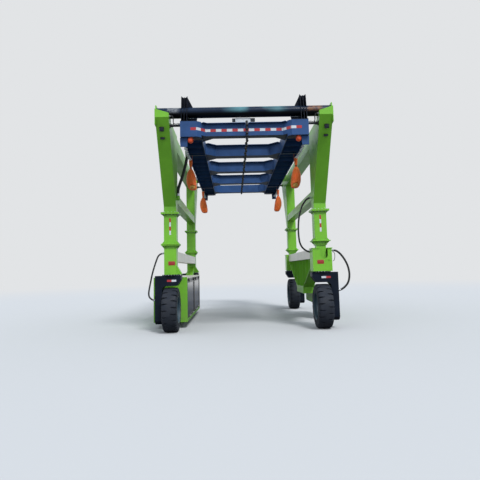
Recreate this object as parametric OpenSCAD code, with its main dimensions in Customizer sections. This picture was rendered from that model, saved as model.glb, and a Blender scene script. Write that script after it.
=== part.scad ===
// Container straddle carrier: two side frames on four steered wheels, telescoping legs,
// and an overhead frame that carries a side-shifting chain spreader.
// Millimetres, +Z up, the front end looks along -Y and the power enclosure is on the left, -X.
// Corner pieces are drawn once for the rear right corner and mirrored to the others.

/* [Frame] */
// front to rear spacing of the legs
wheelbase = 5720; // [5000:20:6400]
// left to right spacing of the legs
track = 3790; // [3750:10:4100]
// foot of the legs, on top of the slewing rings
leg_z = 1410; // [1350:5:1500]
// width of the telescoping inner tube
post_w = 240; // [200:5:260]
// how far the inner tubes end below the top of the leaning face
post_drop = 415; // [300:5:600]
// outer width of the sleeves and left leg casings
sleeve_w = 312; // [300:2:340]
// wall of sleeves, casings and arms
wall = 16; // [8:1:20]
// lower flange of the sleeves
flange1_z = 2156; // [2100:2:2300]
// joint between sleeve and arm
flange2_z = 2947; // [2700:1:3100]
// width of the square flanges
flange_w = 450; // [400:5:480]

/* [Arms and overhead frame] */
// height where the arms begin to lean out
elbow_z = 3120; // [3000:10:3300]
// how far the arm heads reach beyond the leg axis
arm_reach = 1460; // [1200:10:1600]
// height where the leaning face ends
arm_top = 5015; // [4800:5:5200]
// radius of the cross tubes
tube_r = 125; // [90:1:140]
// cross tube axis above the top of the leaning face
tube_rise = 155; // [130:5:180]
// cross tube axis inboard of the arm's tip
tube_inset = 220; // [180:5:300]

/* [Wheels] */
// tyre radius
tyre_r = 545; // [450:5:600]
// tyre width
tyre_w = 370; // [300:5:420]
// bead radius, where rim and tyre meet
bead_r = 328; // [280:2:360]
// axle radius
axle_r = 60; // [40:1:80]
// king pin radius
king_r = 75; // [50:1:80]

/* [Spreader] */
// how far the spreader reaches past the cross tube axis
spr_over = 200; // [190:5:260]
// outer face of the longitudinals
spr_x = 1480; // [1350:5:1500]
// width of a longitudinal
long_w = 480; // [300:10:520]
// height of a longitudinal
spr_h = 365; // [300:5:400]
// top of the longitudinals below the cross tube axis
hang_drop = 260; // [240:5:300]
// chain link inner length
link_in = 100.3; // [80:0.1:120]
// half thickness of the chain's wire
link_r = 10; // [8:1:12]

/* [Side frames] */
// underside of the side beams
beam_z0 = 1735; // [1700:5:1800]
// top of the side beams
beam_z1 = 1985; // [1900:5:1985]
// middle bottom of the right girder
girder_z = 930; // [850:5:1100]
// inner face of the power enclosure
enc_in = 1560; // [1540:5:1650]
// outer face of the power enclosure
enc_out = 2450; // [2300:5:2500]
// gap between the power enclosure and the tyres
enc_gap = 115; // [100:5:400]
// floor of the power enclosure
enc_z0 = 160; // [150:5:300]
// top of the power enclosure's roof
enc_z1 = 1330; // [1200:5:1340]

/* [Hidden] */
px = track / 2;
py = wheelbase / 2;
run = 0.05;
seat = 0.3;
guide = post_w + 2 * seat;
sw2 = sleeve_w / 2;
in2 = sw2 - wall;
case_top = flange1_z - 5;
socket_w = 480;
socket_d = 440;
socket_top = 1990;
lean = atan((arm_reach - sw2) / (arm_top - elbow_z));
post_top = arm_top - post_drop;
yoke_top = leg_z - 25 - seat;
head_z = 2 * tyre_r + 45;
tube_z = arm_top + tube_rise;
tube_y = py + arm_reach - tube_inset;
spr_y = tube_y + spr_over;
spr_z1 = tube_z - hang_drop;
spr_z0 = spr_z1 - spr_h;
memb_x = spr_x - long_w;
memb_z0 = spr_z0 + 50;
memb_z1 = spr_z1 - 20;
memb_h = memb_z1 - memb_z0;
rod_r = 28;
barrel_r = 36;
shift_z = spr_z1 - 38;
barrel_x0 = px - 230;
lug_x = spr_x - 75;
lug_z = spr_z0 - 115;
lug_r = 26;
lug_y = tube_y - 50;
lug_pitch = 100;
enc_y = py - tyre_r - enc_gap;
frame_y = enc_y - 50;
panel_y = (enc_y - 20) / 2;
hinge_y = enc_y / 2 - 400;
hinge_x = enc_in - 15;
hinge_z = enc_z1 - 87;
leaf_z0 = enc_z0 + 85;
leaf_z1 = enc_z1 - 95;
tank_x = px + 180;
tank_w = 375;
tank_h = 510;
stub_z = elbow_z + 280;
stub_y = py + 40;

// mirrored corners: i 0 right, 1 left; j 0 rear, 1 front
module corners(is = [0, 1], js = [0, 1])
  for (i = is, j = js)
    mirror([i, 0, 0]) mirror([0, j, 0]) children();

// box between two corners
module span(a, b)
  translate(a) cube(b - a);

module tube_sq(w, t, z0, z1)
  difference() {
    translate([-w / 2, -w / 2, z0]) cube([w, w, z1 - z0]);
    translate([-w / 2 + t, -w / 2 + t, z0 - 1]) cube([w - 2 * t, w - 2 * t, z1 - z0 + 2]);
  }

// square plate with a square guide hole
module ring_sq(w, hole, z0, t)
  difference() {
    translate([-w / 2, -w / 2, z0]) cube([w, w, t]);
    translate([-hole / 2, -hole / 2, z0 - 1]) cube([hole, hole, t + 2]);
  }

// shape drawn in Y and Z, given thickness from x0 to x1
module slab_yz(x0, x1)
  translate([x0, 0, 0]) rotate([90, 0, 90]) linear_extrude(x1 - x0) children();

// shape drawn in X and Z, given thickness from y0 to y1
module slab_xz(y0, y1)
  translate([0, y1, 0]) rotate([90, 0, 0]) linear_extrude(y1 - y0) children();

module rod_x(r, x0, x1)
  translate([x0, 0, 0]) rotate([0, 90, 0]) cylinder(r = r, h = x1 - x0, $fn = 48);

module rod_y(r, y0, y1)
  translate([0, y1, 0]) rotate([90, 0, 0]) cylinder(r = r, h = y1 - y0, $fn = 24);

module rrect(x0, y0, x1, y1, r) {
  translate([x0 + r, y0]) square([x1 - x0 - 2 * r, y1 - y0]);
  translate([x0, y0 + r]) square([x1 - x0, y1 - y0 - 2 * r]);
  for (x = [x0 + r, x1 - r], y = [y0 + r, y1 - r])
    translate([x, y]) circle(r = r, $fn = 32);
}

// triangular gussets on the four sides of a square tube, two a side
module gussets(w, z, h, out)
  for (a = [0, 90, 180, 270], s = [-1, 1])
    rotate([0, 0, a]) translate([0, s * (w / 2 - 30), 0]) slab_xz(-5, 5)
      polygon([[w / 2 - 1, z], [w / 2 + out, z], [w / 2 - 1, z + h]]);

module leg_at() translate([px, py, 0]) children();

// root body: the side frames

module posts()
  color("yellowgreen")
    corners() leg_at() tube_sq(post_w, 12, leg_z, post_top);

module left_legs()
  color("yellowgreen")
    corners([1]) {
      leg_at() {
        tube_sq(sleeve_w - 5, wall, leg_z, case_top);
        ring_sq(sleeve_w - 10, guide, leg_z, 20);
        ring_sq(flange_w - 10, guide, case_top - 20, 20);
        gussets(sleeve_w - 5, case_top - 20, -80, 60);
        slab_xz(-100, 100)
          translate([-sw2, leg_z]) polygon([[3, 0], [-117, 0], [-117, 20], [3, 220]]);
      }
      slab_yz(px - 115, px + 115)
        polygon([[py - sw2 + 4, leg_z], [py - sw2 + 4, leg_z + 210], [enc_y + 200, leg_z + 90],
                 [enc_y - 300, enc_z1 + 50], [enc_y - 300, enc_z1], [enc_y + 180, enc_z1],
                 [enc_y + 230, leg_z]]);
    }

module right_sockets()
  color("yellowgreen")
    corners([0]) leg_at()
      difference() {
        union() {
          span([-socket_w / 2, -socket_d / 2, leg_z], [socket_w / 2, socket_d / 2, socket_top]);
          span([-socket_w / 2 - 15, -socket_d / 2, socket_top - 20],
               [socket_w / 2 + 15, socket_d / 2 + 15, socket_top]);
          translate([170, socket_d / 2, 1700]) rotate([-90, 0, 0]) cylinder(r = 16, h = 24, $fn = 24);
        }
        span([-socket_w / 2 + 20, -socket_d / 2 + 20, leg_z + 20],
             [socket_w / 2 - 20, socket_d / 2 - 20, socket_top - 20]);
        span([-guide / 2, -guide / 2, leg_z - 1], [guide / 2, guide / 2, socket_top + 1]);
        translate([40, 0, 0]) slab_xz(guide / 2 - 1, socket_d) {
          translate([-95, 1815]) square([190, 200]);
          translate([0, 1815]) circle(r = 95, $fn = 48);
        }
      }

module slew_rings()
  color("darkslategray")
    corners() leg_at()
      difference() {
        union() {
          translate([0, 0, leg_z - 25]) cylinder(r = 225, h = 25, $fn = 64);
          translate([0, 0, leg_z - 1]) cylinder(r = 105, h = 191, $fn = 64);
        }
        translate([0, 0, leg_z - 30]) cylinder(r = king_r + run, h = 240, $fn = 64);
      }

// long hollow side beam from y -h to h
module side_beam(h)
  difference() {
    span([px - 155, -h, beam_z0], [px + 150, h, beam_z1]);
    span([px - 143, -h - 1, beam_z0 + 12], [px + 138, h + 1, beam_z1 - 12]);
  }

module side_beams()
  color("ivory") {
    side_beam(py - socket_d / 2);
    mirror([1, 0, 0]) side_beam(py - (sleeve_w - 5) / 2);
  }

flat_y = 0.245 * py;
belly_half = [[py - 220, beam_z0], [py - 220, beam_z0 - 42], [py - 660, beam_z0 - 215], [flat_y, girder_z]];
function belly(o) = [for (s = [1, -1], k = s > 0 ? [0 : 3] : [3 : -1 : 0])
  [s * belly_half[k][0], belly_half[k][1] + (k > 0 ? o : 0)]];

module right_girder()
  color("yellowgreen") {
    slab_yz(px - 155, px + 155)
      difference() {
        polygon(belly(0));
        polygon(belly(20));
      }
    slab_yz(px - 8, px + 8) polygon(belly(0));
    slab_yz(px - 145, px + 145)
      intersection() {
        polygon(belly(1));
        for (k = [-4 : 4])
          translate([k * (py - 460) / 4 - 8, girder_z - 200]) square([16, beam_z0]);
      }
    span([px - 155, -flat_y, girder_z - 190], [px + 155, flat_y, girder_z + 1]);
  }

module tank()
  color("yellowgreen") {
    slab_xz(-0.35 * py, 0.35 * py) rrect(tank_x, girder_z - tank_h, tank_x + tank_w, girder_z, 60);
    for (s = [-1, 1])
      translate([px + 155, s * 0.21 * py - 30, girder_z - 170]) cube([50, 60, 140]);
    translate([tank_x + tank_w / 2, -flat_y, girder_z - 5]) cylinder(r = 55, h = 45, $fn = 32);
  }

// power enclosure, drawn at +X and mirrored to the left

module enclosure_base()
  color("yellowgreen")
    mirror([1, 0, 0]) {
      span([enc_in, 20 - enc_y, enc_z0], [enc_out, enc_y - 20, enc_z0 + 55]);
      span([enc_in, 20 - enc_y, enc_z0 + 54], [enc_in + 60, enc_y - 20, enc_z0 + 80]);
    }

module end_panels()
  color("yellowgreen")
    corners([1]) {
      difference() {
        span([enc_in, enc_y - 20, enc_z0], [enc_out, enc_y, enc_z1]);
        translate([enc_in, enc_y, enc_z0 - 1]) rotate([0, 0, -45])
          translate([-12, -40, 0]) cube([24, 80, enc_z1 - enc_z0 + 2]);
      }
      slab_xz(enc_y - 1, enc_y + 5) rrect(enc_in + 90, enc_z0 + 100, enc_out - 60, enc_z1 - 60, 30);
    }

module enclosure_frame()
  color("black")
    mirror([1, 0, 0]) {
      for (y = [-frame_y, 0, frame_y])
        span([enc_in, y - 30, enc_z0 + 80], [enc_in + 60, y + 30, enc_z1 - 40]);
      span([enc_in, 20 - enc_y, enc_z1 - 90], [enc_in + 60, enc_y - 20, enc_z1 - 40]);
      for (y = [-frame_y : frame_y / 2 : frame_y])
        span([enc_out - 70, y - 30, enc_z0 + 55], [enc_out - 20, y + 30, enc_z1 - 40]);
      for (y = [-frame_y, 0, frame_y])
        span([enc_in + 59, y - 30, enc_z1 - 90], [enc_out - 69, y + 30, enc_z1 - 40]);
      for (c = [-1, 1], k = [-1, 1])
        translate([hinge_x, c * frame_y / 2 + k * hinge_y, hinge_z]) {
          rod_y(12, -80, -25.5);
          rod_y(12, 25.5, 80);
          rod_y(6, -80, 80);
          for (e = [-1, 1])
            span([-12, e * 53 - 27, 0], [16, e * 53 + 27, 42]);
        }
    }

module enclosure_roof()
  color("ivory")
    mirror([1, 0, 0]) {
      span([enc_in - 10, 20 - enc_y, enc_z1 - 40], [enc_out, enc_y - 20, enc_z1]);
      span([enc_in - 22, 300 - enc_y, enc_z1 - 32], [enc_in - 9, 360 - enc_y, enc_z1 - 8]);
    }

// louvred outer panels, four in a row
module outer_panels()
  color("yellowgreen")
    mirror([1, 0, 0])
      for (k = [-2, -1, 0, 1])
        difference() {
          span([enc_out - 20, k * panel_y + 4, enc_z0 + 55], [enc_out, (k + 1) * panel_y - 4, enc_z1 - 40]);
          for (z = [enc_z1 - 630 : 60 : enc_z1 - 210])
            translate([enc_out - 10, (k + 0.5) * panel_y, z])
              rotate([0, 30, 0]) span([-60, -0.35 * panel_y, -11], [60, 0.35 * panel_y, 11]);
        }

module engine()
  color("dimgray")
    mirror([1, 0, 0])
      span([enc_in + 220, -0.34 * enc_y, enc_z0 + 55], [enc_out - 170, 0.385 * enc_y, enc_z1 - 310]);

// one top-hung hatch between y0 and y1
module hatch(y0, y1)
  mirror([1, 0, 0])
    difference() {
      union() {
        span([enc_in, y0, leaf_z0], [enc_in + 30, y1, leaf_z1]);
        for (k = [-1, 1])
          translate([hinge_x, (y0 + y1) / 2 + k * hinge_y, hinge_z]) {
            rod_y(12, -24.5, 24.5);
            span([-12, -24.5, -40], [-3, 24.5, 0]);
            span([-12, -24.5, -40], [16, 24.5, -9]);
          }
      }
      span([enc_in - 1, y0 + 60, leaf_z0 + 60], [enc_in + 31, y1 - 60, leaf_z1 - 60]);
      span([enc_in + 11.7, y0 + 48, leaf_z0 + 48], [enc_in + 20.3, y1 - 48, leaf_z1 - 48]);
      for (k = [-1, 1])
        translate([hinge_x, (y0 + y1) / 2 + k * hinge_y, hinge_z]) rod_y(6 + run, -40, 40);
    }

module pane(y0, y1)
  mirror([1, 0, 0])
    span([enc_in + 12, y0 + 48.3, leaf_z0 + 48.3], [enc_in + 20, y1 - 48.3, leaf_z1 - 48.3]);

module hatch_front() color("black") hatch(37 - frame_y, -37);
module hatch_rear() color("black") hatch(37, frame_y - 37);
module pane_front() color("slategray") pane(37 - frame_y, -37);
module pane_rear() color("slategray") pane(37, frame_y - 37);

// lifting body: sleeves, arms and the frame on top

module sleeves()
  color("yellowgreen") {
    corners() leg_at() {
      tube_sq(sleeve_w, wall, flange1_z, flange2_z);
      ring_sq(flange_w, guide, flange1_z, 25);
      ring_sq(flange_w, guide, flange2_z - 25, 25);
      gussets(sleeve_w, flange1_z + 24, 70, 60);
      gussets(sleeve_w, flange2_z - 24, -60, 55);
    }
    corners([0]) leg_at() {
      tube_sq(guide + 44, 22, flange1_z - 95, flange1_z + 1);
      gussets(guide + 44, flange1_z, -75, 75);
    }
  }

module arms() {
  color("yellowgreen")
    corners() {
      difference() {
        slab_yz(px - 155, px + 155)
          translate([py, 0])
            polygon([[-sw2, flange2_z], [sw2, flange2_z], [sw2, elbow_z], [arm_reach, arm_top],
                     [arm_reach, arm_top + 1], [-sw2, arm_top + 1]]);
        slab_yz(px - 155 + wall, px + 155 - wall)
          translate([py, 0])
            polygon([[-in2, flange2_z - 9], [in2, flange2_z - 9], [in2, elbow_z + 5],
                     [arm_reach - 30, arm_top - 15], [-in2, arm_top - 15]]);
        translate([0, tube_y, shift_z]) rod_x(barrel_r + seat, px - 160, px);
      }
      leg_at() ring_sq(flange_w, guide, flange2_z, 25);
      difference() {
        union() {
          slab_xz(tube_y - 160, tube_y + tube_inset)
            translate([px, arm_top]) polygon([[-159, 0], [165, 0], [165, 205], [-159, 100]]);
          slab_yz(px + 150, px + 165)
            translate([tube_y, arm_top])
              polygon([[tube_inset, -15], [tube_inset, -165], [100, -180], [-240, -180],
                       [-240, 35], [-160, 35]]);
          span([px + 140, tube_y - 120, arm_top], [px + 165, tube_y + 120, arm_top + 315]);
        }
        translate([0, tube_y, tube_z]) rod_x(tube_r + seat, px - 170, px + 140);
      }
    }
  hose_stub();
}

// elbow on the front left arm where the spreader's hose comes out
module hose_stub()
  color("yellowgreen")
    translate([198 - px, -stub_y, stub_z - 70]) {
      rod_x(42, -44, 0);
      sphere(r = 42, $fn = 32);
      cylinder(r = 42, h = 70, $fn = 48);
    }

module tie_beams()
  color("yellowgreen")
    for (i = [0, 1])
      mirror([i, 0, 0]) {
        difference() {
          span([px - 145, sw2 - py, elbow_z + 130], [px + 105, py - sw2, elbow_z + 360]);
          span([px - 135, sw2 - py - 1, elbow_z + 140], [px + 95, py - sw2 + 1, elbow_z + 350]);
        }
        difference() {
          span([px - 155, sw2 - py, arm_top - 415], [px + 145, py - sw2, arm_top - 65]);
          span([px - 143, sw2 - py - 1, arm_top - 403], [px + 133, py - sw2 + 1, arm_top - 77]);
        }
      }

module cross_tubes()
  color("steelblue")
    corners([0])
      translate([0, tube_y, tube_z])
        difference() {
          rod_x(tube_r, -px - 140 + seat, px + 140 - seat);
          rod_x(tube_r - 18, -px - 200, px + 200);
        }

module shift_barrels()
  color("black")
    corners() translate([0, tube_y, shift_z])
      difference() {
        union() {
          rod_x(barrel_r, barrel_x0, px + 155 - wall);
          rod_x(barrel_r + 20, px - 155 - 18 - seat, px - 155 - seat);
        }
        rod_x(rod_r + run, barrel_x0 - 1, px + 155 - wall - 15);
      }

// two work lamps and a marker on the leaning face of each arm
module lamps()
  color("black")
    corners() {
      for (p = [[arm_top - 225, 50, 50, 60], [arm_top - 410, 50, 26, 40]])
        translate([px + 20, py + sw2 + (p[0] - elbow_z) * tan(lean), p[0]]) rotate([-lean, 0, 0])
          span([-p[1], seat, -p[2]], [p[1], p[3], p[2]]);
    }

// side-shifting body: the spreader

// how far the end members flare out beyond the tube, and how far their middle stays behind
flare_y = 120;
recess_y = 30;

// seen from above, inner corners cut where the end members flare
module long_outline(t) {
  a = memb_x + t;
  e = spr_y - t;
  f = tube_y + flare_y - t;
  polygon([[a, -f], [a + 90, -e], [spr_x - t, -e], [spr_x - t, e], [a + 90, e], [a, f]]);
}

module longitudinals()
  color("slateblue") {
    for (i = [0, 1])
      mirror([i, 0, 0]) {
        difference() {
          translate([0, 0, spr_z0]) linear_extrude(spr_h) long_outline(0);
          translate([0, 0, spr_z0 - 1]) linear_extrude(spr_h - 11) long_outline(12);
        }
        for (k = [-7 : 7])
          translate([memb_x + 1, k * spr_y / 8 - 6, spr_z0 + 15]) cube([long_w - 2, 12, spr_h - 16]);
        for (j = [-1, 1], p = [[lug_y + 55, 125], [bag_y, 40]])
          translate([memb_x + 1, j * p[0] - p[1], spr_z0]) cube([long_w - 2, 2 * p[1], 12]);
      }
    translate([15 - spr_x, -stub_y, spr_z0 - 45]) cylinder(r = 42, h = 60, $fn = 48);
  }

function fish(a, b, c, d) = [[-c, -b], [-d, -a], [d, -a], [c, -b], [c, b], [d, a], [-d, a], [-c, b]];

function half_end(t) = [[memb_x + min(t, 1), flare_y - 1.25 * t], [memb_x - 100 + t / 2, recess_y - t]];

module end_outline(t) {
  h = half_end(t);
  polygon([h[0], h[1], [-h[1][0], h[1][1]], [-h[0][0], h[0][1]], [-h[0][0], t - 450],
           [260 - memb_x - t / 6, t - 200], [memb_x - 260 + t / 6, t - 200], [h[0][0], t - 450]]);
}

module cross_members()
  color("slateblue") {
    for (k = [-1 : 1])
      translate([0, k * tube_y / 2, memb_z0]) difference() {
        linear_extrude(memb_h) polygon(fish(150, 400, memb_x, memb_x - 260));
        translate([0, 0, 12]) linear_extrude(memb_h - 24) polygon(fish(138, 386, memb_x + 1, memb_x - 258));
      }
    corners([0]) translate([0, tube_y, memb_z0])
      difference() {
        linear_extrude(memb_h) end_outline(0);
        translate([0, 0, 12]) linear_extrude(memb_h - 24) end_outline(12);
      }
  }

// plates that hang the spreader on a cross tube
module hangers()
  color("slateblue")
    corners() translate([0, tube_y, 0])
      difference() {
        union() {
          for (p = [[-161, tube_z + 330], [-96, tube_z + 310], [-31, tube_z + 330]])
            slab_yz(spr_x + p[0], spr_x + p[0] + 12) {
              polygon([[-195, spr_z1 + 14], [195, spr_z1 + 14], [75, p[1]], [-75, p[1]]]);
              translate([0, p[1]]) circle(r = 75, $fn = 48);
            }
          span([spr_x - 375, -200, spr_z1], [spr_x, 200, spr_z1 + 15]);
          translate([spr_x - 155, 0, tube_z]) slab_xz(-7, 7) {
            polygon([[0, 395], [-129, tube_r + 6], [0, tube_r + 6]]);
            polygon([[0, -tube_r - 9], [-230, -tube_r - 9], [-205, 14 - hang_drop], [0, 14 - hang_drop]]);
            polygon([[0, 395], [65, 365], [130, 395], [130, 14 - hang_drop], [0, 14 - hang_drop]]);
          }
        }
        translate([0, 0, tube_z]) rod_x(tube_r + run, spr_x - 180, spr_x + 10);
      }

module shift_rods()
  color("silver")
    corners() translate([0, tube_y, shift_z]) {
      rod_x(48, spr_x, spr_x + 12);
      rod_x(rod_r, spr_x + 10, px - 40);
    }

// plate with two holes and a cross plate before it
module corner_lugs()
  color("slateblue")
    corners() {
      slab_yz(lug_x - 12, lug_x + 12)
        difference() {
          union() {
            translate([lug_y - 55, lug_z]) square([lug_pitch + 110, spr_z0 - lug_z]);
            for (y = [0, lug_pitch])
              translate([lug_y + y, lug_z]) circle(r = 55, $fn = 48);
            translate([lug_y, lug_z - 55]) square([lug_pitch, 60]);
          }
          for (y = [0, lug_pitch])
            translate([lug_y + y, lug_z]) circle(r = lug_r, $fn = 48);
        }
      translate([lug_x, 0, spr_z0]) slab_xz(lug_y + lug_pitch + 54, lug_y + lug_pitch + 68)
        polygon([[-90, 0], [-80, -215], [80, -215], [90, 0]]);
    }

// box under the front tube with a small lamp on either side
box_y = 10 - tube_y;
box_top = tube_z - tube_r - 15;

module junction_box()
  color("white") {
    span([-207, box_y - 20, memb_z1], [150, box_y + 160, box_top]);
    for (x = [[-280, -206], [149, 255]])
      span([x[0], box_y, box_top - 75], [x[1], box_y + 70, box_top - 5]);
  }

// round orange beacons that hang under the front corners, inboard of the lugs
beacon_x = lug_x - 155;
beacon_r = 64;

module beacons()
  color("orange")
    corners([0, 1], [1]) translate([beacon_x, lug_y + 150, spr_z0 - 70])
      rotate_extrude($fn = 48)
        polygon(concat([for (t = [0 : 15 : 90]) beacon_r * [sin(t), -cos(t)]],
                       [[beacon_r, 38], [beacon_r - 16, 38], [beacon_r - 16, 70], [0, 70]]));

// conduit from the box down the front member's face and back under all members
duct_x = 60;
duct_r = 24;
duct_z = memb_z0 - 45;
duct_y = -tube_y - recess_y - 35;

module hose_duct()
  color("black")
    translate([duct_x, 0, 0]) {
      translate([0, 0, duct_z]) {
        rod_y(duct_r, duct_y, tube_y - 90);
        for (k = [-16 : 16])
          rod_y(duct_r + 6, k * tube_y / 17 - 12, k * tube_y / 17 + 12);
      }
      translate([0, duct_y, duct_z]) cylinder(r = duct_r, h = memb_z1 + 45 - duct_z, $fn = 32);
      for (z = [duct_z, memb_z1 + 45])
        translate([0, duct_y, z]) sphere(r = duct_r, $fn = 32);
      translate([0, 0, memb_z1 + 45]) rod_y(duct_r, duct_y, box_y - 20 - seat);
      for (y = [100 - tube_y, -tube_y / 2, 0, tube_y / 2, tube_y - 100])
        span([-34, y - 12, duct_z], [34, y + 12, memb_z0]);
    }

// one chain link as a closed ring of stations, along +X, flat in X and Y
ring_s = link_in / 2 + link_r;
link_c = link_r * sqrt(2);
ring_t = 2 * link_r + 9;
ring_c = 12;
link_path = [for (m = [[1, -1], [1, 1], [-1, 1], [-1, -1]])
  let (a = [m[0] * ring_s, m[1] * (ring_t - ring_c)], b = [m[0] * (ring_s - ring_c), m[1] * ring_t])
    each m[0] * m[1] > 0 ? [a, b] : [b, a]];

function link_pts() = [for (k = [0 : 7])
  let (p = link_path[k], q = link_path[(k + 1) % 8], o = link_path[(k + 7) % 8],
       d = (q - p) / norm(q - p), u = d + (p - o) / norm(p - o), n = [u[1], -u[0]] / (u * d))
    each [for (a = [45 : 90 : 315])
      [p[0] + n[0] * link_c * cos(a), p[1] + n[1] * link_c * cos(a), link_c * sin(a)]]];

link_faces = [for (k = [0 : 7], m = [0 : 3])
  let (a = 4 * k + m, b = 4 * k + (m + 1) % 4, c = 4 * ((k + 1) % 8) + (m + 1) % 4, d = 4 * ((k + 1) % 8) + m)
    each [[a, b, c], [a, c, d]]];

module link() polyhedron(points = link_pts(), faces = link_faces);

// the chain droops from the lug towards the bag: link centres and slopes along it
chain_n = 14;
chain_dip = 8;
link_gap = 0.8;
chain_a = [lug_y, lug_z]
  + (sqrt(pow(lug_r - seat, 2) - pow(link_r, 2)) - link_r + ring_s) * [-cos(slope(0)), sin(slope(0))];
function slope(k) = chain_dip * (2 * k / chain_n - 1);
function chain_at(k) = k <= 0 ? chain_a
  : chain_at(k - 1) + (link_in - link_gap) / 2 * ([-cos(slope(k - 1)), sin(slope(k - 1))]
    + [-cos(slope(k)), sin(slope(k))]);

module lift_chains()
  color("silver")
    corners()
      for (k = [0 : chain_n])
        translate([lug_x, chain_at(k)[0], chain_at(k)[1]])
          rotate([-slope(k), 0, 0]) rotate([0, 0, 90]) rotate([k % 2 * 90, 0, 0]) link();

// soft sack, gathered under its mouth: rings of points, [height, shift inboard, half width, half depth]
bag_rows = [[-811, 60, 44, 38], [-796, 58, 78, 66], [-740, 44, 102, 90], [-600, 14, 121, 108],
            [-450, 6, 108, 96], [-330, 0, 80, 70], [-250, 0, 42, 38], [-207, 0, 24, 22],
            [-150, 0, 32, 28], [-60, 0, 44, 38], [0, 0, 46, 40]];
bag_n = 16;
bag_y = chain_at(chain_n)[0] - ring_s - 20;
mouth_z = chain_at(chain_n)[1] - link_r / cos(chain_dip)
  + (chain_at(chain_n)[0] - bag_y - 40) * tan(chain_dip) - 0.4;

module chain_bags()
  color("orange")
    corners() translate([lug_x, bag_y, mouth_z]) {
      polyhedron(
        points = [for (r = bag_rows, k = [0 : bag_n - 1])
          [r[2] * cos(k * 360 / bag_n) - r[1], r[3] * sin(k * 360 / bag_n), r[0]]],
        faces = concat(
          [[for (k = [0 : bag_n - 1]) k]],
          [[for (k = [bag_n - 1 : -1 : 0]) (len(bag_rows) - 1) * bag_n + k]],
          [for (i = [0 : len(bag_rows) - 2], k = [0 : bag_n - 1])
            let (a = i * bag_n + k, b = i * bag_n + (k + 1) % bag_n)
              each [[a, a + bag_n, b + bag_n], [a, b + bag_n, b]]]));
      for (s = [-1, 1])
        translate([s * 44 - 3, -20, -40]) cube([6, 40, 40 + spr_z0 - mouth_z]);
    }

// wheels and yokes, drawn about the leg axis with +X outboard

module yoke()
  leg_at() {
    translate([0, 0, yoke_top - 1]) cylinder(r = king_r, h = 201, $fn = 64);
    difference() {
      slab_xz(-165, 165)
        difference() {
          union() {
            polygon([[-262, yoke_top], [-262, head_z + 144], [-164, head_z], [385, head_z], [385, yoke_top]]);
            rrect(205, 200, 385, yoke_top, 30);
            translate([300, head_z + 60]) square([85, yoke_top - head_z - 60]);
            polygon([[100, head_z + 1], [206, head_z + 1], [206, head_z - 105]]);
          }
          translate([100, head_z - 105]) circle(r = 105.9, $fn = 64);
        }
      for (m = [0, 1])
        mirror([0, m, 0]) translate([0, 165, 200]) rotate([45, 0, 0])
          translate([0, -60, -60]) cube([500, 120, 120]);
    }
    translate([0, 0, tyre_r]) {
      rod_x(120, 110, 206);
      rod_x(axle_r, -60, 206);
    }
  }

module rim()
  translate([px, py, tyre_r]) rotate([0, 90, 0])
    difference() {
      rotate_extrude($fn = 64)
        difference() {
          polygon([[0, -96], [90, -96], [110, -80], [110, -62], [bead_r - 38, -62], [bead_r - 14, -110],
                   [bead_r - 14, -168], [bead_r + 6, -176], [bead_r + 6, -186], [bead_r, -170], [bead_r, 170],
                   [bead_r + 6, 186], [bead_r + 6, 176], [bead_r - 14, 168], [bead_r - 14, -60],
                   [bead_r - 32, -44], [110, -44], [110, 98], [0, 98]]);
          translate([0, -64]) square([axle_r + run, 170]);
        }
      for (a = [0 : 60 : 300])
        rotate([0, 0, a]) translate([215, 0, -80]) cylinder(r = 42, h = 60, $fn = 32);
    }

module tyre()
  translate([px, py, tyre_r]) rotate([0, 90, 0])
    rotate_extrude($fn = 72)
      polygon([[bead_r + seat, -169], [350, -185], [470, -tyre_w / 2], [512, -176], [538, -150],
               [tyre_r, -110], [tyre_r, 110], [538, 150], [512, 176], [470, tyre_w / 2], [350, 185],
               [bead_r + seat, 169]]);

module yoke_front_left() color("black") corners([1], [1]) yoke();
module yoke_front_right() color("black") corners([0], [1]) yoke();
module yoke_rear_left() color("black") corners([1], [0]) yoke();
module yoke_rear_right() color("black") corners([0], [0]) yoke();
module rim_front_left() color("silver") corners([1], [1]) rim();
module rim_front_right() color("silver") corners([0], [1]) rim();
module rim_rear_left() color("silver") corners([1], [0]) rim();
module rim_rear_right() color("silver") corners([0], [0]) rim();
module tyre_front_left() color("dimgray") corners([1], [1]) tyre();
module tyre_front_right() color("dimgray") corners([0], [1]) tyre();
module tyre_rear_left() color("dimgray") corners([1], [0]) tyre();
module tyre_rear_right() color("dimgray") corners([0], [0]) tyre();

// hoses: round tubes through hand-chosen points
hose_sides = 8;

function unit(v) = v / norm(v);
function tangent(p, k) = unit(p[min(k + 1, len(p) - 1)] - p[max(k - 1, 0)]);

module hose(p, r)
  polyhedron(
    points = [for (k = [0 : len(p) - 1])
      let (t = tangent(p, k), u = unit(cross(t, [0.1, 1, 0.2])), v = cross(t, u))
        each [for (m = [0 : hose_sides - 1])
          p[k] + r * (u * cos(m * 360 / hose_sides) + v * sin(m * 360 / hose_sides))]],
    faces = concat(
      [[for (m = [hose_sides - 1 : -1 : 0]) m]],
      [[for (m = [0 : hose_sides - 1]) (len(p) - 1) * hose_sides + m]],
      [for (k = [0 : len(p) - 2], m = [0 : hose_sides - 1])
        let (a = k * hose_sides + m, b = k * hose_sides + (m + 1) % hose_sides)
          each [[a, b, b + hose_sides], [a, b + hose_sides, a + hose_sides]]]));

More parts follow.
